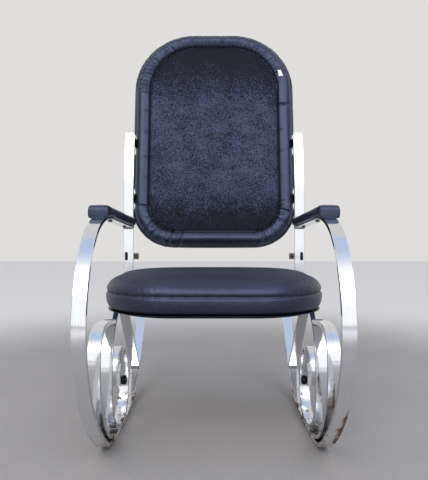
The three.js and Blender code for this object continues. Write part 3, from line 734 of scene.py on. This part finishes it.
def back_folds(outline, rng):
    """Long folds round the corners, most at the top, fine puckers along the top run, few on the sides."""
    dense, gone = measured(outline)
    folds = []
    at = 0.0
    while at < gone[-1]:
        x, h = dense[min(np.searchsorted(gone, at), len(dense) - 1)]
        corner = min(1.0, max(0.0, (abs(x) - 0.05) / 0.10)) * (1.0 if h > 0.50 else 0.0)
        foot = 1.0 if (h < 0.13 and abs(x) > 0.11) else 0.0
        top = 1.0 if h > 0.60 else 0.0
        busy = max(corner, 0.75 * foot, 0.80 * top, 0.06)
        at += rng.uniform(0.008, 0.013) / (busy if busy > 0.1 else 0.14)
        long_fold = rng.uniform() < (0.70 if corner > 0.3 or foot else 0.25)
        reach = rng.uniform(0.045, 0.080) if long_fold else rng.uniform(0.014, 0.024)
        depth = rng.uniform(0.0032, 0.0060) if long_fold else rng.uniform(0.0026, 0.0044)
        width = rng.uniform(0.0028, 0.0042) if long_fold else rng.uniform(0.0022, 0.0030)
        folds.append((at, width, reach, depth, rng.uniform(-0.25, 0.25)))
    return folds


def pressed_in(points):
    """The foam gives way beside the legs of the four brackets, which run along its edge."""
    for height in BRACKET_HEIGHTS:
        near = np.clip((0.045 - np.abs(points[:, 2] - height)) / 0.025, 0, 1)
        past = np.maximum(np.abs(points[:, 0]) - BRACKET_LEG, 0) * near ** 2 * (3 - 2 * near)
        points[:, 0] -= np.sign(points[:, 0]) * past
    return points


def back_details(piece, rng):
    """Shapes the roll, the sunk panel, the groove and the folds, and gives the panel its own finish."""
    points, normals = points_of(piece), normals_of(piece)
    outline = round_outline(**shrunk(BACK_SHAPE, SEAM_IN))
    place, length = around(points[:, [0, 2]], outline)
    off = off_seam(points)
    front = np.clip((-normals[:, 1] - 0.1) / 0.4, 0, 1)
    crest = np.clip(np.abs(off - SEAM_IN / 2) / (0.54 * SEAM_IN), 0, 1)
    roll = 0.015 * (1 - np.sqrt(1 - crest ** 2)) * (off > 0)
    panel_down = (0.0125 - 0.0075 * np.clip(-off / 0.11, 0, 1) ** 0.6) * (off <= 0)
    groove = 0.0045 * np.exp(-(off / 0.0030) ** 2)
    outer = np.clip(off, 0, None)
    sunk = gathers(place, length, outer, back_folds(outline, rng)) * (off > -0.002)
    points[:, 1] += (roll + panel_down + groove) * front
    move_points(piece, points - normals * (sunk * np.clip(front + 0.35, 0, 1))[:, None])
    piece.data.materials.append(VINYL)
    piece.data.materials.append(CRAZED)
    inside = (off < 0) & (points[:, 1] < 0.03)
    for face in piece.data.polygons:
        face.material_index = int(all(inside[i] for i in face.vertices))


def back_pad():
    """The back: a block blown up flat, detailed, and then leaned into place."""
    layers = [(round_outline(**shrunk(BACK_SHAPE, inset)), -deep) for inset, deep in BACK_PROFILE]
    body = block("back_pad", layers)
    points = points_of(body)
    move_points(body, np.column_stack([points[:, 0], -points[:, 2], points[:, 1]]))
    inflated(body, 4.5 * MM, back_held, 24 * MM)
    fill_box(body, (-0.2585, -0.008, -0.004), (0.2585, BACK_DEEP, 0.706))
    finer(body)
    back_details(body, np.random.default_rng(5))
    move_points(body, leaned(pressed_in(points_of(body))))
    crisp(body, 180)
    placed(body, "vinyl", "back_cushion", "back_board")
    return body


back = back_pad()

# %% [markdown]
# Each arm pad is a narrow block of foam on a board, covered in the same vinyl and folded in at its ends.
# It is swelled the same way, held along its underside. It falls 3 degrees towards the back, and an even
# remesh turns such a slope into small steps, so the block is levelled first and sloped again at the end.

# %% Arm pads
ARM_FALL = math.tan(math.radians(3))


def arm_pad(side):
    """An arm pad from its solid, levelled, blown up and sloped again."""
    node = f"arm_pad_{side}"
    solid = frame["nodes"][node].data.copy()
    body = new_object(f"arm_rest_{side}", solid)
    joined = body.modifiers.new("joined", "WELD")
    joined.merge_threshold = 0.05 * MM
    made_plain(body)
    points = points_of(body)
    points[:, 2] += ARM_FALL * points[:, 1]
    low, high = points.min(0), points.max(0)
    middle, span = (low + high) / 2, high - low
    move_points(body, middle + (points - middle) * (span - [0.006, 0.008, 0.005]) / span)

    def held(points):
        return np.where(points[:, 2] < low[2] + 0.004, 1.0, 0.0)

    inflated(body, 4 * MM, held, 8 * MM, pressure=3.0)
    fill_box(body, low, high)
    finer(body)
    points = points_of(body)
    points[:, 2] -= ARM_FALL * points[:, 1]
    move_points(body, points)
    body.data.materials.clear()
    body.data.materials.append(VINYL)
    crisp(body, 180)
    placed(body, "vinyl", node)


for side in SIDES:
    arm_pad(side)

# %% [markdown]
# The hardware is plainer stuff: dull zinc-plated steel for screws and brackets, steel gone brown for the bolts
# that the plate never covered, birch plywood for the boards, a thin black non-woven cloth under the seat,
# and wire for staples. Each is one short material.

# %% Steel, rust, plywood, cloth and wire
def zinc_steel(name, light, dark, roughness, brown):
    """Zinc-plated mild steel, gone dull, with some rust. brown is the share of rust, from 0 to 1."""
    made, tree, shader = new_material(name, **{"Metallic": 0.9, "Roughness": roughness})
    place = add(tree, "ShaderNodeTexCoord").outputs["Object"]
    cloud = add(tree, "ShaderNodeTexNoise", {"Vector": place, "Scale": 190.0, "Detail": 4.0})
    stain = add(tree, "ShaderNodeTexNoise", {"Vector": place, "Scale": 95.0, "Detail": 5.0, "Roughness": 0.7})
    tone = add(tree, "ShaderNodeMix", {0: cloud.outputs[0], 6: colour(dark), 7: colour(light)},
               data_type="RGBA")
    rust = add(tree, "ShaderNodeMapRange", {
        0: stain.outputs[0], 1: 0.72 - brown * 0.5, 2: 0.80 - brown * 0.4})
    base = add(tree, "ShaderNodeMix", {0: rust.outputs[0], 6: tone.outputs[2], 7: colour("#5b3a24")},
               data_type="RGBA")
    metal = add(tree, "ShaderNodeMapRange", {0: rust.outputs[0], 3: 0.9, 4: 0.1})
    rough = add(tree, "ShaderNodeMapRange", {0: rust.outputs[0], 3: roughness, 4: 0.85})
    bump = add(tree, "ShaderNodeBump", {"Strength": 0.4, "Distance": 0.0004, "Height": stain.outputs[0]})
    link_all(tree, shader, {"Base Color": base.outputs[2], "Metallic": metal.outputs[0],
                            "Roughness": rough.outputs[0], "Normal": bump.outputs[0]})
    return made


def birch_plywood():
    """Seven-ply birch: pale and dark veneers 1.7 mm thick show at the sawn edge."""
    made, tree, shader = new_material("birch_plywood", **{"Roughness": 0.7})
    place = add(tree, "ShaderNodeTexCoord").outputs["Object"]
    stretched = add(tree, "ShaderNodeVectorMath", {0: place, 1: (18, 160, 160)}, operation="MULTIPLY")
    fibre = add(tree, "ShaderNodeTexNoise", {"Vector": stretched.outputs[0], "Scale": 1.0, "Detail": 5.0})
    stain = add(tree, "ShaderNodeTexNoise", {"Vector": place, "Scale": 14.0, "Detail": 3.0})
    wood = add(tree, "ShaderNodeMix", {0: fibre.outputs[0], 6: colour("#8a6a45"), 7: colour("#c5a577")},
               data_type="RGBA")
    aged = add(tree, "ShaderNodeMix", {0: stain.outputs[0], 6: wood.outputs[2], 7: colour("#5f4a33")},
               data_type="RGBA")
    bump = add(tree, "ShaderNodeBump", {"Strength": 0.3, "Distance": 0.0004, "Height": fibre.outputs[0]})
    link_all(tree, shader, {"Base Color": aged.outputs[2], "Normal": bump.outputs[0]})
    return made


def non_woven():
    """Black spun-bonded cloth: thin, matt, with a point pattern 2.5 mm apart from the bonding roller."""
    made, tree, shader = new_material("spunbonded_cloth", **{"Roughness": 0.95, "Specular IOR Level": 0.2})
    place = add(tree, "ShaderNodeTexCoord").outputs["Object"]
    dots = add(tree, "ShaderNodeTexVoronoi", {"Vector": place, "Scale": 400.0, "Randomness": 0.15})
    lint = add(tree, "ShaderNodeTexNoise", {"Vector": place, "Scale": 45.0, "Detail": 6.0, "Roughness": 0.7})
    tone = add(tree, "ShaderNodeMix", {0: lint.outputs[0], 6: colour("#0f0f10"), 7: colour("#323234")},
               data_type="RGBA")
    bump = add(tree, "ShaderNodeBump", {"Strength": 0.4, "Distance": 0.0003, "Height": dots.outputs[0]})
    link_all(tree, shader, {"Base Color": tone.outputs[2], "Normal": bump.outputs[0]})
    return made


ZINC = zinc_steel("dull_zinc_plate", "#8f8d89", "#565450", 0.38, 0.25)
RUSTY = zinc_steel("rusted_mild_steel", "#57504a", "#2b2725", 0.5, 0.45)
WELD = zinc_steel("plated_weld", "#c4c6c9", "#8d8d8c", 0.22, 0.30)
WIRE = zinc_steel("staple_wire", "#b9b9b6", "#8b8984", 0.3, 0.1)
PLYWOOD = birch_plywood()
CLOTH = non_woven()
DARK = zinc_steel("blackened_steel", "#2e323c", "#17191f", 0.34, 0.16)
THREAD = new_material("black_polyester_thread", **{"Base Color": colour("#0b0c0f"), "Roughness": 0.6})[0]
print("made", ", ".join(m.name for m in (ZINC, RUSTY, WELD, WIRE, PLYWOOD, CLOTH, DARK, THREAD)))

# %% [markdown]
# Brackets, lugs, plugs and pins already have the right shape as solids, but a solid's edges are knife
# sharp, and real edges catch a line of light. A joined copy gets its edges rounded by half a millimetre or
# so, and stands for the solid.

# %% Round the edges of plain hardware
def softened(node, slot, material, edge):
    """A copy of a solid with its edges rounded, in its own material."""
    piece = new_object(node + "_finished", frame["nodes"][node].data.copy())
    joined = piece.modifiers.new("joined", "WELD")
    joined.merge_threshold = 0.02 * MM
    made_plain(piece)
    flat = piece.modifiers.new("flat", "DECIMATE")
    flat.decimate_type = "DISSOLVE"
    flat.angle_limit = math.radians(2)
    made_plain(piece)
    rounded = piece.modifiers.new("rounded", "BEVEL")
    rounded.width = edge
    rounded.segments = 2
    rounded.limit_method = "ANGLE"
    rounded.angle_limit = math.radians(35)
    made_plain(piece)
    piece.data.materials.clear()
    piece.data.materials.append(material)
    return placed(crisp(piece, 50), slot, node)


for side in SIDES:
    softened(f"lug_{side}", "steel", ZINC, 0.7 * MM)
    softened(f"slot_plug_{side}", "steel", DARK, 0.4 * MM)
    softened(f"lug_bolt_{side}", "rusted_steel", RUSTY, 0.5 * MM)
    softened(f"scroll_pin_{side}", "rusted_steel", DARK, 0.8 * MM)
    softened(f"arm_board_{side}", "plywood", PLYWOOD, 0.6 * MM)
    for number in (1, 2):
        softened(f"back_bracket_{side}_{number}", "steel", CHROME, 0.6 * MM)
softened("back_panel", "vinyl", VINYL, 1 * MM)

# %% [markdown]
# Screws repeat, so one head is modelled once and a node tree stands a copy at each place, turned to its
# own axis. The head is a low dome with a cross recess pressed in. The places and axes come from the solid
# screws themselves: the head's middle is where a screw's box begins, and the axis is known for each group.

# %% Screws
def screw_head(radius=6 * MM, height=3.2 * MM, rings=9, spokes=28):
    """A pan head with a cross recess, on the XY plane, its top towards +Z."""
    points, faces = [(0, 0, height)], []
    for ring in range(1, rings + 1):
        share = ring / rings
        for k in range(spokes):
            angle = 2 * math.pi * k / spokes
            u, v = radius * share * math.cos(angle), radius * share * math.sin(angle)
            up = height * math.sqrt(max(0, 1 - share ** 2.6))
            points.append((u, v, up))
    for k in range(spokes):
        faces.append((0, 1 + k, 1 + (k + 1) % spokes))
        for ring in range(rings - 1):
            a, b = 1 + ring * spokes, 1 + (ring + 1) * spokes
            faces.append((a + k, b + k, b + (k + 1) % spokes, a + (k + 1) % spokes))
    faces.append(tuple(range(len(points) - 1, len(points) - spokes - 1, -1)))
    recess_half, recess_reach, recess_deep = 0.9 * MM, 3.1 * MM, 1.6 * MM
    for i, (u, v, up) in enumerate(points):
        if min(abs(u), abs(v)) < recess_half and max(abs(u), abs(v)) < recess_reach:
            points[i] = (u, v, up - recess_deep)
    mesh = bpy.data.meshes.new("screw_head")
    mesh.from_pydata(points, [], faces)
    return new_object("screw_head_pattern", mesh)


def stood_tree(name):
    """Stands a copy of a pattern at every point, its Z along the point's own axis."""
    tree, given = new_tree(name, [("Pattern", "NodeSocketObject", None), ("Size", "NodeSocketFloat", 1.0),
                                  ("Twist", "NodeSocketFloat", 0.6), ("Seed", "NodeSocketInt", 3),
                                  ("Material", "NodeSocketMaterial", None)])
    pattern = add(tree, "GeometryNodeObjectInfo", {"Object": given.outputs["Pattern"]})
    axis = add(tree, "GeometryNodeInputNamedAttribute", {"Name": "axis"}, data_type="FLOAT_VECTOR")
    turned = add(tree, "FunctionNodeAlignRotationToVector", {"Vector": axis.outputs[0]}, axis="Z")
    minus = add(tree, "ShaderNodeMath", {0: given.outputs["Twist"], 1: -1.0}, operation="MULTIPLY")
    chance = add(tree, "FunctionNodeRandomValue", {"Min": minus.outputs[0], "Max": given.outputs["Twist"],
                                                   "Seed": given.outputs["Seed"]}, data_type="FLOAT")
    spin = add(tree, "FunctionNodeAxisAngleToRotation", {"Axis": (0, 0, 1), "Angle": chance.outputs["Value"]})
    both = add(tree, "FunctionNodeRotateRotation", {0: turned.outputs[0], 1: spin.outputs[0]},
               rotation_space="LOCAL")
    copies = add(tree, "GeometryNodeInstanceOnPoints", {
        "Points": given.outputs["Geometry"], "Instance": pattern.outputs["Geometry"],
        "Rotation": both.outputs[0], "Scale": given.outputs["Size"]})
    end_tree(tree, copies.outputs[0], given.outputs["Material"])
    return tree


def points_object(name, places, axes):
    """Loose points, each with the axis that its copy will stand along."""
    mesh = bpy.data.meshes.new(name)
    mesh.from_pydata([tuple(p) for p in places], [], [])
    axis = mesh.attributes.new("axis", "FLOAT_VECTOR", "POINT")
    axis.data.foreach_set("vector", np.array(axes, np.float32).ravel())
    return new_object(name, mesh)


def screw_places(group, direction):
    """Where the heads of one group of screws sit. direction points from the shank out of the head."""
    found = []
    for side in SIDES:
        for number in (1, 2):
            node = f"{group}_{side}_{number}"
            corners = [np.array(c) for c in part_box(node)]
            points = np.array([v.co[:] for v in frame["nodes"][node].data.vertices])
            along = points @ direction
            middle = (corners[0] + corners[1]) / 2
            found.append((node, middle + direction * (along.max() - middle @ direction - 3.2 * MM)))
    return found


STOOD = stood_tree("stood_on_points")
HEAD = screw_head()
RAIL_FALL = math.radians(3.3)
AXES = {"seat_screw": (0, 0, -1), "arm_screw": (0, -math.sin(RAIL_FALL), -math.cos(RAIL_FALL)),
        "back_screw": (0, math.cos(LEAN), -math.sin(LEAN))}
screws = {group: screw_places(group, np.array(axis)) for group, axis in AXES.items()}
places = [place for group in screws.values() for _, place in group]
axes = [AXES[group] for group, found in screws.items() for _ in found]
screw_nodes = [node for group in screws.values() for node, _ in group]
heads = run_tree(points_object("screw_heads", places, axes), STOOD, {"Pattern": HEAD, "Material": ZINC})
placed(crisp(heads, 30), "steel", *screw_nodes)
bpy.data.objects.remove(HEAD)

# %% [markdown]
# The bars are joined by welds. A weld bead is a row of overlapping ripples, each where the pool froze, so a
# tree puts a flattened ball every 1.8 mm along a short line and turns it to the line. Chrome was plated over
# them, and they have rusted first.

# %% Weld beads
def bead_tree():
    """A row of balls along a line, one for each ripple."""
    tree, given = new_tree("weld_bead", [
        ("Radius", "NodeSocketFloat", 0.0026), ("Ripple", "NodeSocketFloat", 0.0018),
        ("Stretch", "NodeSocketFloat", 1.0), ("Seed", "NodeSocketInt", 7),
        ("Material", "NodeSocketMaterial", None)])
    path = add(tree, "GeometryNodeMeshToCurve", {0: given.outputs["Geometry"]})
    spaced = add(tree, "GeometryNodeResampleCurve", {
        "Curve": path.outputs[0], "Length": given.outputs["Ripple"]}, mode="LENGTH")
    ball = add(tree, "GeometryNodeMeshIcoSphere", {"Radius": 1.0, "Subdivisions": 2})
    tangent = add(tree, "GeometryNodeInputTangent")
    turned = add(tree, "FunctionNodeAlignRotationToVector", {"Vector": tangent.outputs[0]}, axis="X")
    uneven = add(tree, "FunctionNodeRandomValue", {"Min": (0.55, 0.85, 0.85), "Max": (0.75, 1.12, 1.12),
                                                   "Seed": given.outputs["Seed"]}, data_type="FLOAT_VECTOR")
    longer = add(tree, "ShaderNodeCombineXYZ", {0: given.outputs["Stretch"], 1: 1.0, 2: 1.0})
    drawn = add(tree, "ShaderNodeVectorMath", {0: uneven.outputs[0], 1: longer.outputs[0]},
                operation="MULTIPLY")
    sized = add(tree, "ShaderNodeVectorMath", {0: drawn.outputs[0], "Scale": given.outputs["Radius"]},
                operation="SCALE")
    copies = add(tree, "GeometryNodeInstanceOnPoints", {
        "Points": spaced.outputs[0], "Instance": ball.outputs[0], "Rotation": turned.outputs[0],
        "Scale": sized.outputs[0]})
    end_tree(tree, copies.outputs[0], given.outputs["Material"])
    return tree


def across_bar(x, y, z, trim=2 * MM):
    """A weld line across the width of a bar, at a place in the side plane."""
    half = BAR_WIDE / 2 - trim
    return [(x - half, y, z), (x + half, y, z)]


def upright_face(side, z):
    """Where the front face of the upright is, at a height."""
    path = PATHS[f"inner_bow_{side}"]
    tall = path[path[:, 2] > 0.45]
    tall = tall[np.argsort(tall[:, 2])]
    return np.interp(z, tall[:, 2], tall[:, 1]) - BAR_THICK / 2


def weld_lines(side):
    """Where one side frame is welded, as short lines."""
    x = PATHS[f"outer_bow_{side}"][0, 0]
    rail, brace, mid = (PATHS[f"{bar}_{side}"] for bar in ("outer_bow", "rear_brace", "mid_bow"))
    lines = []
    rail_end = rail[0] if rail[0, 2] > rail[-1, 2] else rail[-1]
    face = upright_face(side, rail_end[2])
    lines.append(across_bar(x, face, rail_end[2] - 6 * MM))
    edges = (x - BAR_WIDE / 2, x + BAR_WIDE / 2)
    for edge in edges:
        lines.append([(edge, face, rail_end[2] - 5 * MM), (edge, face, rail_end[2] + 5 * MM)])
    ends = sorted((mid[0], mid[-1]), key=lambda p: p[2])
    lines.append(across_bar(x, ends[0][1] + 1 * MM, ends[0][2] - 4 * MM))
    lines.append(across_bar(x, ends[1][1] + 1 * MM, ends[1][2] + 5 * MM))
    lines.append(across_bar(x, ends[1][1] + 2 * MM, ends[1][2] - 4 * MM))
    top, foot = (brace[0], brace[-1]) if brace[0, 2] > brace[-1, 2] else (brace[-1], brace[0])
    lines += [across_bar(x, top[1] + 8 * MM, top[2]), across_bar(x, top[1] - 8 * MM, top[2])]
    lines += [across_bar(x, foot[1] - 7 * MM, foot[2] - 2 * MM),
              across_bar(x, foot[1] + 6 * MM, foot[2] + 5 * MM)]
    touch = FLOOR_CONTACT_Y
    lines += [across_bar(x, touch - 4 * MM, 11 * MM), across_bar(x, touch + 74 * MM, 11 * MM)]
    for edge in edges:
        lines.append([(edge, touch + 10 * MM, 10.2 * MM), (edge, touch + 55 * MM, 10.2 * MM)])
    low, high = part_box(f"lug_{side}")
    lug_at = low.x if side == "left" else high.x
    for y in (low.y, high.y):
        lines.append([(lug_at, y, low.z + 1 * MM), (lug_at, y, high.z - 1 * MM)])
    for number in (1, 2):
        low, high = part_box(f"back_bracket_{side}_{number}")
        outer = low.x if side == "left" else high.x
        lines.append([(outer, low.y, low.z + 4 * MM), (outer, low.y + 4 * MM, high.z - 2 * MM)])
    return lines


BEAD = bead_tree()
beads = line_object("weld_beads", [line for side in SIDES for line in weld_lines(side)])
placed(crisp(run_tree(beads, BEAD, {"Material": WELD}), 180), "chrome")

# %% [markdown]
# The seams are sewn with black thread, six millimetres to a stitch. A stitch is the same thing as a ripple of
# a weld, only longer and further from the next, so the same tree makes it. Each seam's line is first laid on
# the skin of its pad, at the bottom of the groove.

# %% Stitches
def on_skin(piece, points):
    """The nearest point of a pad's skin to each given point, lifted by a third of a millimetre."""
    laid = []
    for point in points:
        _, place, normal, _ = piece.closest_point_on_mesh(Vector(point))
        laid.append(place + normal * 0.3 * MM)
    return laid


def sewn(name, piece, points):
    """A row of stitches on a pad, through the given points."""
    line = line_object(name, [on_skin(piece, points)], closed=True)
    made = run_tree(line, BEAD, {"Radius": 0.7 * MM, "Ripple": 6 * MM, "Stretch": 4.2, "Material": THREAD})
    return placed(crisp(made, 180), "vinyl")


flat = evenly(np.array(round_outline(**shrunk(SEAT_SHAPE, 0.004))), 3 * MM)
sewn("seat_stitches", seat, np.column_stack([flat, np.full(len(flat), SEAT_SEAM_Z)]))
flat = evenly(np.array(round_outline(**shrunk(BACK_SHAPE, SEAM_IN))), 3 * MM)
sewn("back_stitches", back, leaned(np.column_stack([flat[:, 0], np.full(len(flat), 0.008), flat[:, 1]])))

# %% [markdown]
# A small blank piece of white tape is stuck on the roll of the back, near its top right corner. It is laid on
# the skin point by point, so it follows the roll, and has a real thickness of a third of a millimetre.

# %% Tape
def tape(columns=9, rows=7):
    """A blank piece of tape 24 by 17 mm, laid on the back's roll."""
    across, up = np.meshgrid(np.linspace(0.199, 0.223, columns), np.linspace(1.041, 1.058, rows))
    shape = bpy.data.meshes.new("tape")
    front = BACK_FOOT.y + 0.05
    laid = on_skin(back, np.column_stack([across.ravel(), np.full(across.size, front), up.ravel()]))
    corners = [row * columns + column for row in range(rows - 1) for column in range(columns - 1)]
    shape.from_pydata(laid, [], [(i, i + 1, i + 1 + columns, i + columns) for i in corners])
    made = new_object("tape", shape)
    made.data.materials.append(new_material("white_paper_tape", **{
        "Base Color": colour("#e9e9e6"), "Roughness": 0.7})[0])
    thick = made.modifiers.new("thick", "SOLIDIFY")
    thick.thickness, thick.offset = 0.35 * MM, 1
    return placed(crisp(made_plain(made)), "vinyl")


tape()

# %% [markdown]
# Underneath, the vinyl is turned in over the board and stapled, and a thin cloth hides the rest. The hem is
# a flat ring with small pleats where it goes round the corners. The cloth hangs a few millimetres slack
# between its staples.

# %% Under the seat
def ring_between(name, outer, inner, thick, z, wave):
    """A thin closed ring between two outlines, its lower side at height z and rippled by wave(place)."""
    a = evenly(np.array(outer + [outer[0]]), 4 * MM)[:-1]
    dense = evenly(np.array(inner + [inner[0]]), 1 * MM)
    b = np.array([dense[np.argmin(((dense - p) ** 2).sum(1))] for p in a])
    count, steps = len(a), 6
    points, faces = [], []
    for level in (0, 1):
        for s in range(steps + 1):
            for i in range(count):
                u, v = a[i] + (b[i] - a[i]) * s / steps
                points.append((u, v, z + level * thick - (1 - level) * wave(i, s / steps)))

    def at(level, s, i):
        return (level * (steps + 1) + s) * count + i % count

    for i in range(count):
        for s in range(steps):
            faces.append((at(0, s, i), at(0, s + 1, i), at(0, s + 1, i + 1), at(0, s, i + 1)))
            faces.append((at(1, s, i), at(1, s, i + 1), at(1, s + 1, i + 1), at(1, s + 1, i)))
        faces.append((at(0, 0, i), at(0, 0, i + 1), at(1, 0, i + 1), at(1, 0, i)))
        faces.append((at(0, steps, i), at(1, steps, i), at(1, steps, i + 1), at(0, steps, i + 1)))
    mesh = bpy.data.meshes.new(name)
    mesh.from_pydata(points, [], faces)
    made = new_object(name, mesh)
    face_out(made)
    return made


def face_out(piece):
    """Turns every face outwards."""
    shape = bmesh.new()
    shape.from_mesh(piece.data)
    bmesh.ops.recalc_face_normals(shape, faces=shape.faces)
    shape.to_mesh(piece.data)
    shape.free()


COVER_LOW, COVER_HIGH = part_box("seat_dust_cover")


def hem():
    """The turned-in edge of the seat's cover, with small ripples that grow inwards."""
    rng = np.random.default_rng(21)
    heights = rng.uniform(0.0, 1.0, 2000)

    def wave(i, share):
        return 0.7 * MM * heights[i] * share

    outer = round_outline(**shrunk(SEAT_SHAPE, 0.006))
    inner = round_outline(**shrunk(SEAT_SHAPE, 0.040))
    ring = ring_between("seat_hem", outer, inner, 0.9 * MM, SEAT_LOW.z - 1.0 * MM, wave)
    ring.data.materials.append(VINYL)
    return placed(crisp(ring, 60), "vinyl")


def slack_cover():
    """The cloth under the seat: a closed thin sheet that sags between the places where it is held."""
    outline = round_outline(**shrunk(SEAT_SHAPE, 0.030))
    body = block("seat_cover_below", [(outline, COVER_LOW.z - 0.0009), (outline, COVER_HIGH.z)])
    cut = bmesh.new()
    cut.from_mesh(body.data)
    for axis, low, high in ((0, -SEAT_HALF, SEAT_HALF), (1, SEAT_LOW.y, SEAT_HIGH.y)):
        for place in np.arange(low + 0.012, high, 0.012):
            spot, normal = [0, 0, 0], [0, 0, 0]
            spot[axis], normal[axis] = place, 1
            everything = cut.verts[:] + cut.edges[:] + cut.faces[:]
            bmesh.ops.bisect_plane(cut, geom=everything, plane_co=spot, plane_no=normal)
    cut.to_mesh(body.data)
    cut.free()
    points = points_of(body)
    inside = np.clip(-outside_by(points[:, :2], **shrunk(SEAT_SHAPE, 0.030)) / 0.15, 0, 1)
    ripple = np.sin(points[:, 0] * 60 + 2 * np.sin(points[:, 1] * 25)) * np.clip(inside * 8, 0, 1)
    points[:, 2] -= 0.005 * inside * (2 - inside) + 0.0006 * ripple
    move_points(body, points)
    body.data.materials.append(CLOTH)
    return placed(crisp(body, 60), "cloth", "seat_dust_cover")


hem()
slack_cover()


def staple(width=10 * MM, wire=0.6 * MM):
    """A staple's crown: a short flat wire with its ends bent in."""
    half, w = width / 2, wire / 2
    bends = [(-half, -1.0 * MM), (-half, 0.2 * MM), (half, 0.2 * MM), (half, -1.0 * MM)]
    points, faces = [], []
    for x, z in bends:
        side, up = math.copysign(w, x), (w if z > 0 else 0)
        inner, outer = (x - side, z - up), (x + side, z + up)
        points += [(u, y, v) for (u, v), y in ((inner, -w), (outer, -w), (outer, w), (inner, w))]
    for s in range(3):
        for k in range(4):
            a, b = 4 * s + k, 4 * s + (k + 1) % 4
            faces.append((a, b, b + 4, a + 4))
    faces += [(3, 2, 1, 0), (12, 13, 14, 15)]
    mesh = bpy.data.meshes.new("staple")
    mesh.from_pydata(points, [], faces)
    made = new_object("staple_pattern", mesh)
    face_out(made)
    return made


line = evenly(np.array(round_outline(**shrunk(SEAT_SHAPE, 0.037))), 28 * MM)
STAPLE = staple()
spots = [(u, v, COVER_LOW.z - 0.9 * MM) for u, v in line]
staples = run_tree(points_object("cover_staples", spots, [(0, 0, -1)] * len(spots)), STOOD,
                   {"Pattern": STAPLE, "Twist": 1.4, "Material": WIRE})
placed(crisp(staples, 30), "steel")
bpy.data.objects.remove(STAPLE)

# %% [markdown]
# The floor is plain and pale, and its light is soft. A bright white sky in front and above, a duller wall
# tone behind and a slightly blue top give the chrome something to reflect.

# %% Floor and light
def pale_floor():
    """Grey, gritty concrete near the chair that turns pale further away."""
    made, tree, shader = new_material("pale_concrete", **{"Roughness": 0.85, "Base Color": colour("#a7a29b")})
    place = add(tree, "ShaderNodeTexCoord").outputs["Object"]
    grit = add(tree, "ShaderNodeTexNoise", {"Vector": place, "Scale": 160.0, "Detail": 6.0})
    cloud = add(tree, "ShaderNodeTexNoise", {"Vector": place, "Scale": 3.0, "Detail": 4.0})
    both = add(tree, "ShaderNodeMix", {0: 0.35, 2: grit.outputs[0], 3: cloud.outputs[0]}, data_type="FLOAT")
    near = add(tree, "ShaderNodeMix", {0: both.outputs[0], 6: colour("#858384"), 7: colour("#a9a6a6")},
               data_type="RGBA")
    away = add(tree, "ShaderNodeVectorMath", {0: place}, operation="LENGTH")
    sweep = add(tree, "ShaderNodeMapRange", {0: away.outputs["Value"], 1: 1.0, 2: 2.4},
                interpolation_type="SMOOTHSTEP")
    tone = add(tree, "ShaderNodeMix", {0: sweep.outputs[0], 6: near.outputs[2], 7: colour("#dad9d9")},
               data_type="RGBA")
    bump = add(tree, "ShaderNodeBump", {"Strength": 0.3, "Distance": 0.001, "Height": grit.outputs[0]})
    link_all(tree, shader, {"Base Color": tone.outputs[2], "Normal": bump.outputs[0]})
    return made


def floor():
    """A wide flat floor."""
    mesh = bpy.data.meshes.new("floor")
    mesh.from_pydata([(-8, -8, 0), (8, -8, 0), (8, 8, 0), (-8, 8, 0)], [], [(0, 1, 2, 3)])
    mesh.materials.append(pale_floor())
    new_object("floor", mesh)


def soft_box(name, place, target, size, watts, tint):
    """A large rectangular lamp, turned towards a target."""
    lamp = bpy.data.lights.new(name, "AREA")
    lamp.shape = "RECTANGLE"
    lamp.size, lamp.size_y = size
    lamp.energy = watts
    lamp.color = colour(tint)[:3]
    made = bpy.data.objects.new(name, lamp)
    made.location = place
    made.rotation_euler = (Vector(target) - Vector(place)).to_track_quat("-Z", "Y").to_euler()
    scene.collection.objects.link(made)


def studio_air():
    """Light from all round: white in front, bluish above, grey at the sides and paler behind."""
    world = bpy.data.worlds.new("studio")
    world.use_nodes = True
    tree = world.node_tree
    tree.nodes.clear()
    way = add(tree, "ShaderNodeTexCoord").outputs["Generated"]
    xyz = add(tree, "ShaderNodeSeparateXYZ", {0: way})
    back = add(tree, "ShaderNodeMapRange", {0: xyz.outputs[1], 1: 0.05, 2: 0.35},
               interpolation_type="SMOOTHSTEP")
    up = add(tree, "ShaderNodeMapRange", {0: xyz.outputs[2], 1: 0.80, 2: 0.98},
             interpolation_type="SMOOTHSTEP")
    beside = add(tree, "ShaderNodeMath", {0: xyz.outputs[0]}, operation="ABSOLUTE")
    side = add(tree, "ShaderNodeMapRange", {0: beside.outputs[0], 1: 0.62, 2: 0.92},
               interpolation_type="SMOOTHSTEP")
    front = add(tree, "ShaderNodeMix", {0: up.outputs[0], 6: colour("#ffffff"), 7: colour("#b9c6e2")},
                data_type="RGBA")
    walls = add(tree, "ShaderNodeMix", {0: side.outputs[0], 6: front.outputs[2], 7: colour("#6d737c")},
                data_type="RGBA")
    both = add(tree, "ShaderNodeMix", {0: back.outputs[0], 6: walls.outputs[2], 7: colour("#cfcdcc")},
               data_type="RGBA")
    sky = add(tree, "ShaderNodeBackground", {"Color": both.outputs[2], "Strength": 1.2})
    add(tree, "ShaderNodeOutputWorld", {"Surface": sky.outputs[0]})
    scene.world = world


floor()
soft_box("key", (-1.4, -2.6, 2.6), (0, 0, 0.6), (2.4, 1.6), 45, "#fffaf2")
soft_box("fill", (1.4, -2.6, 2.2), (0, 0, 0.5), (2.4, 1.6), 30, "#eef3ff")
studio_air()
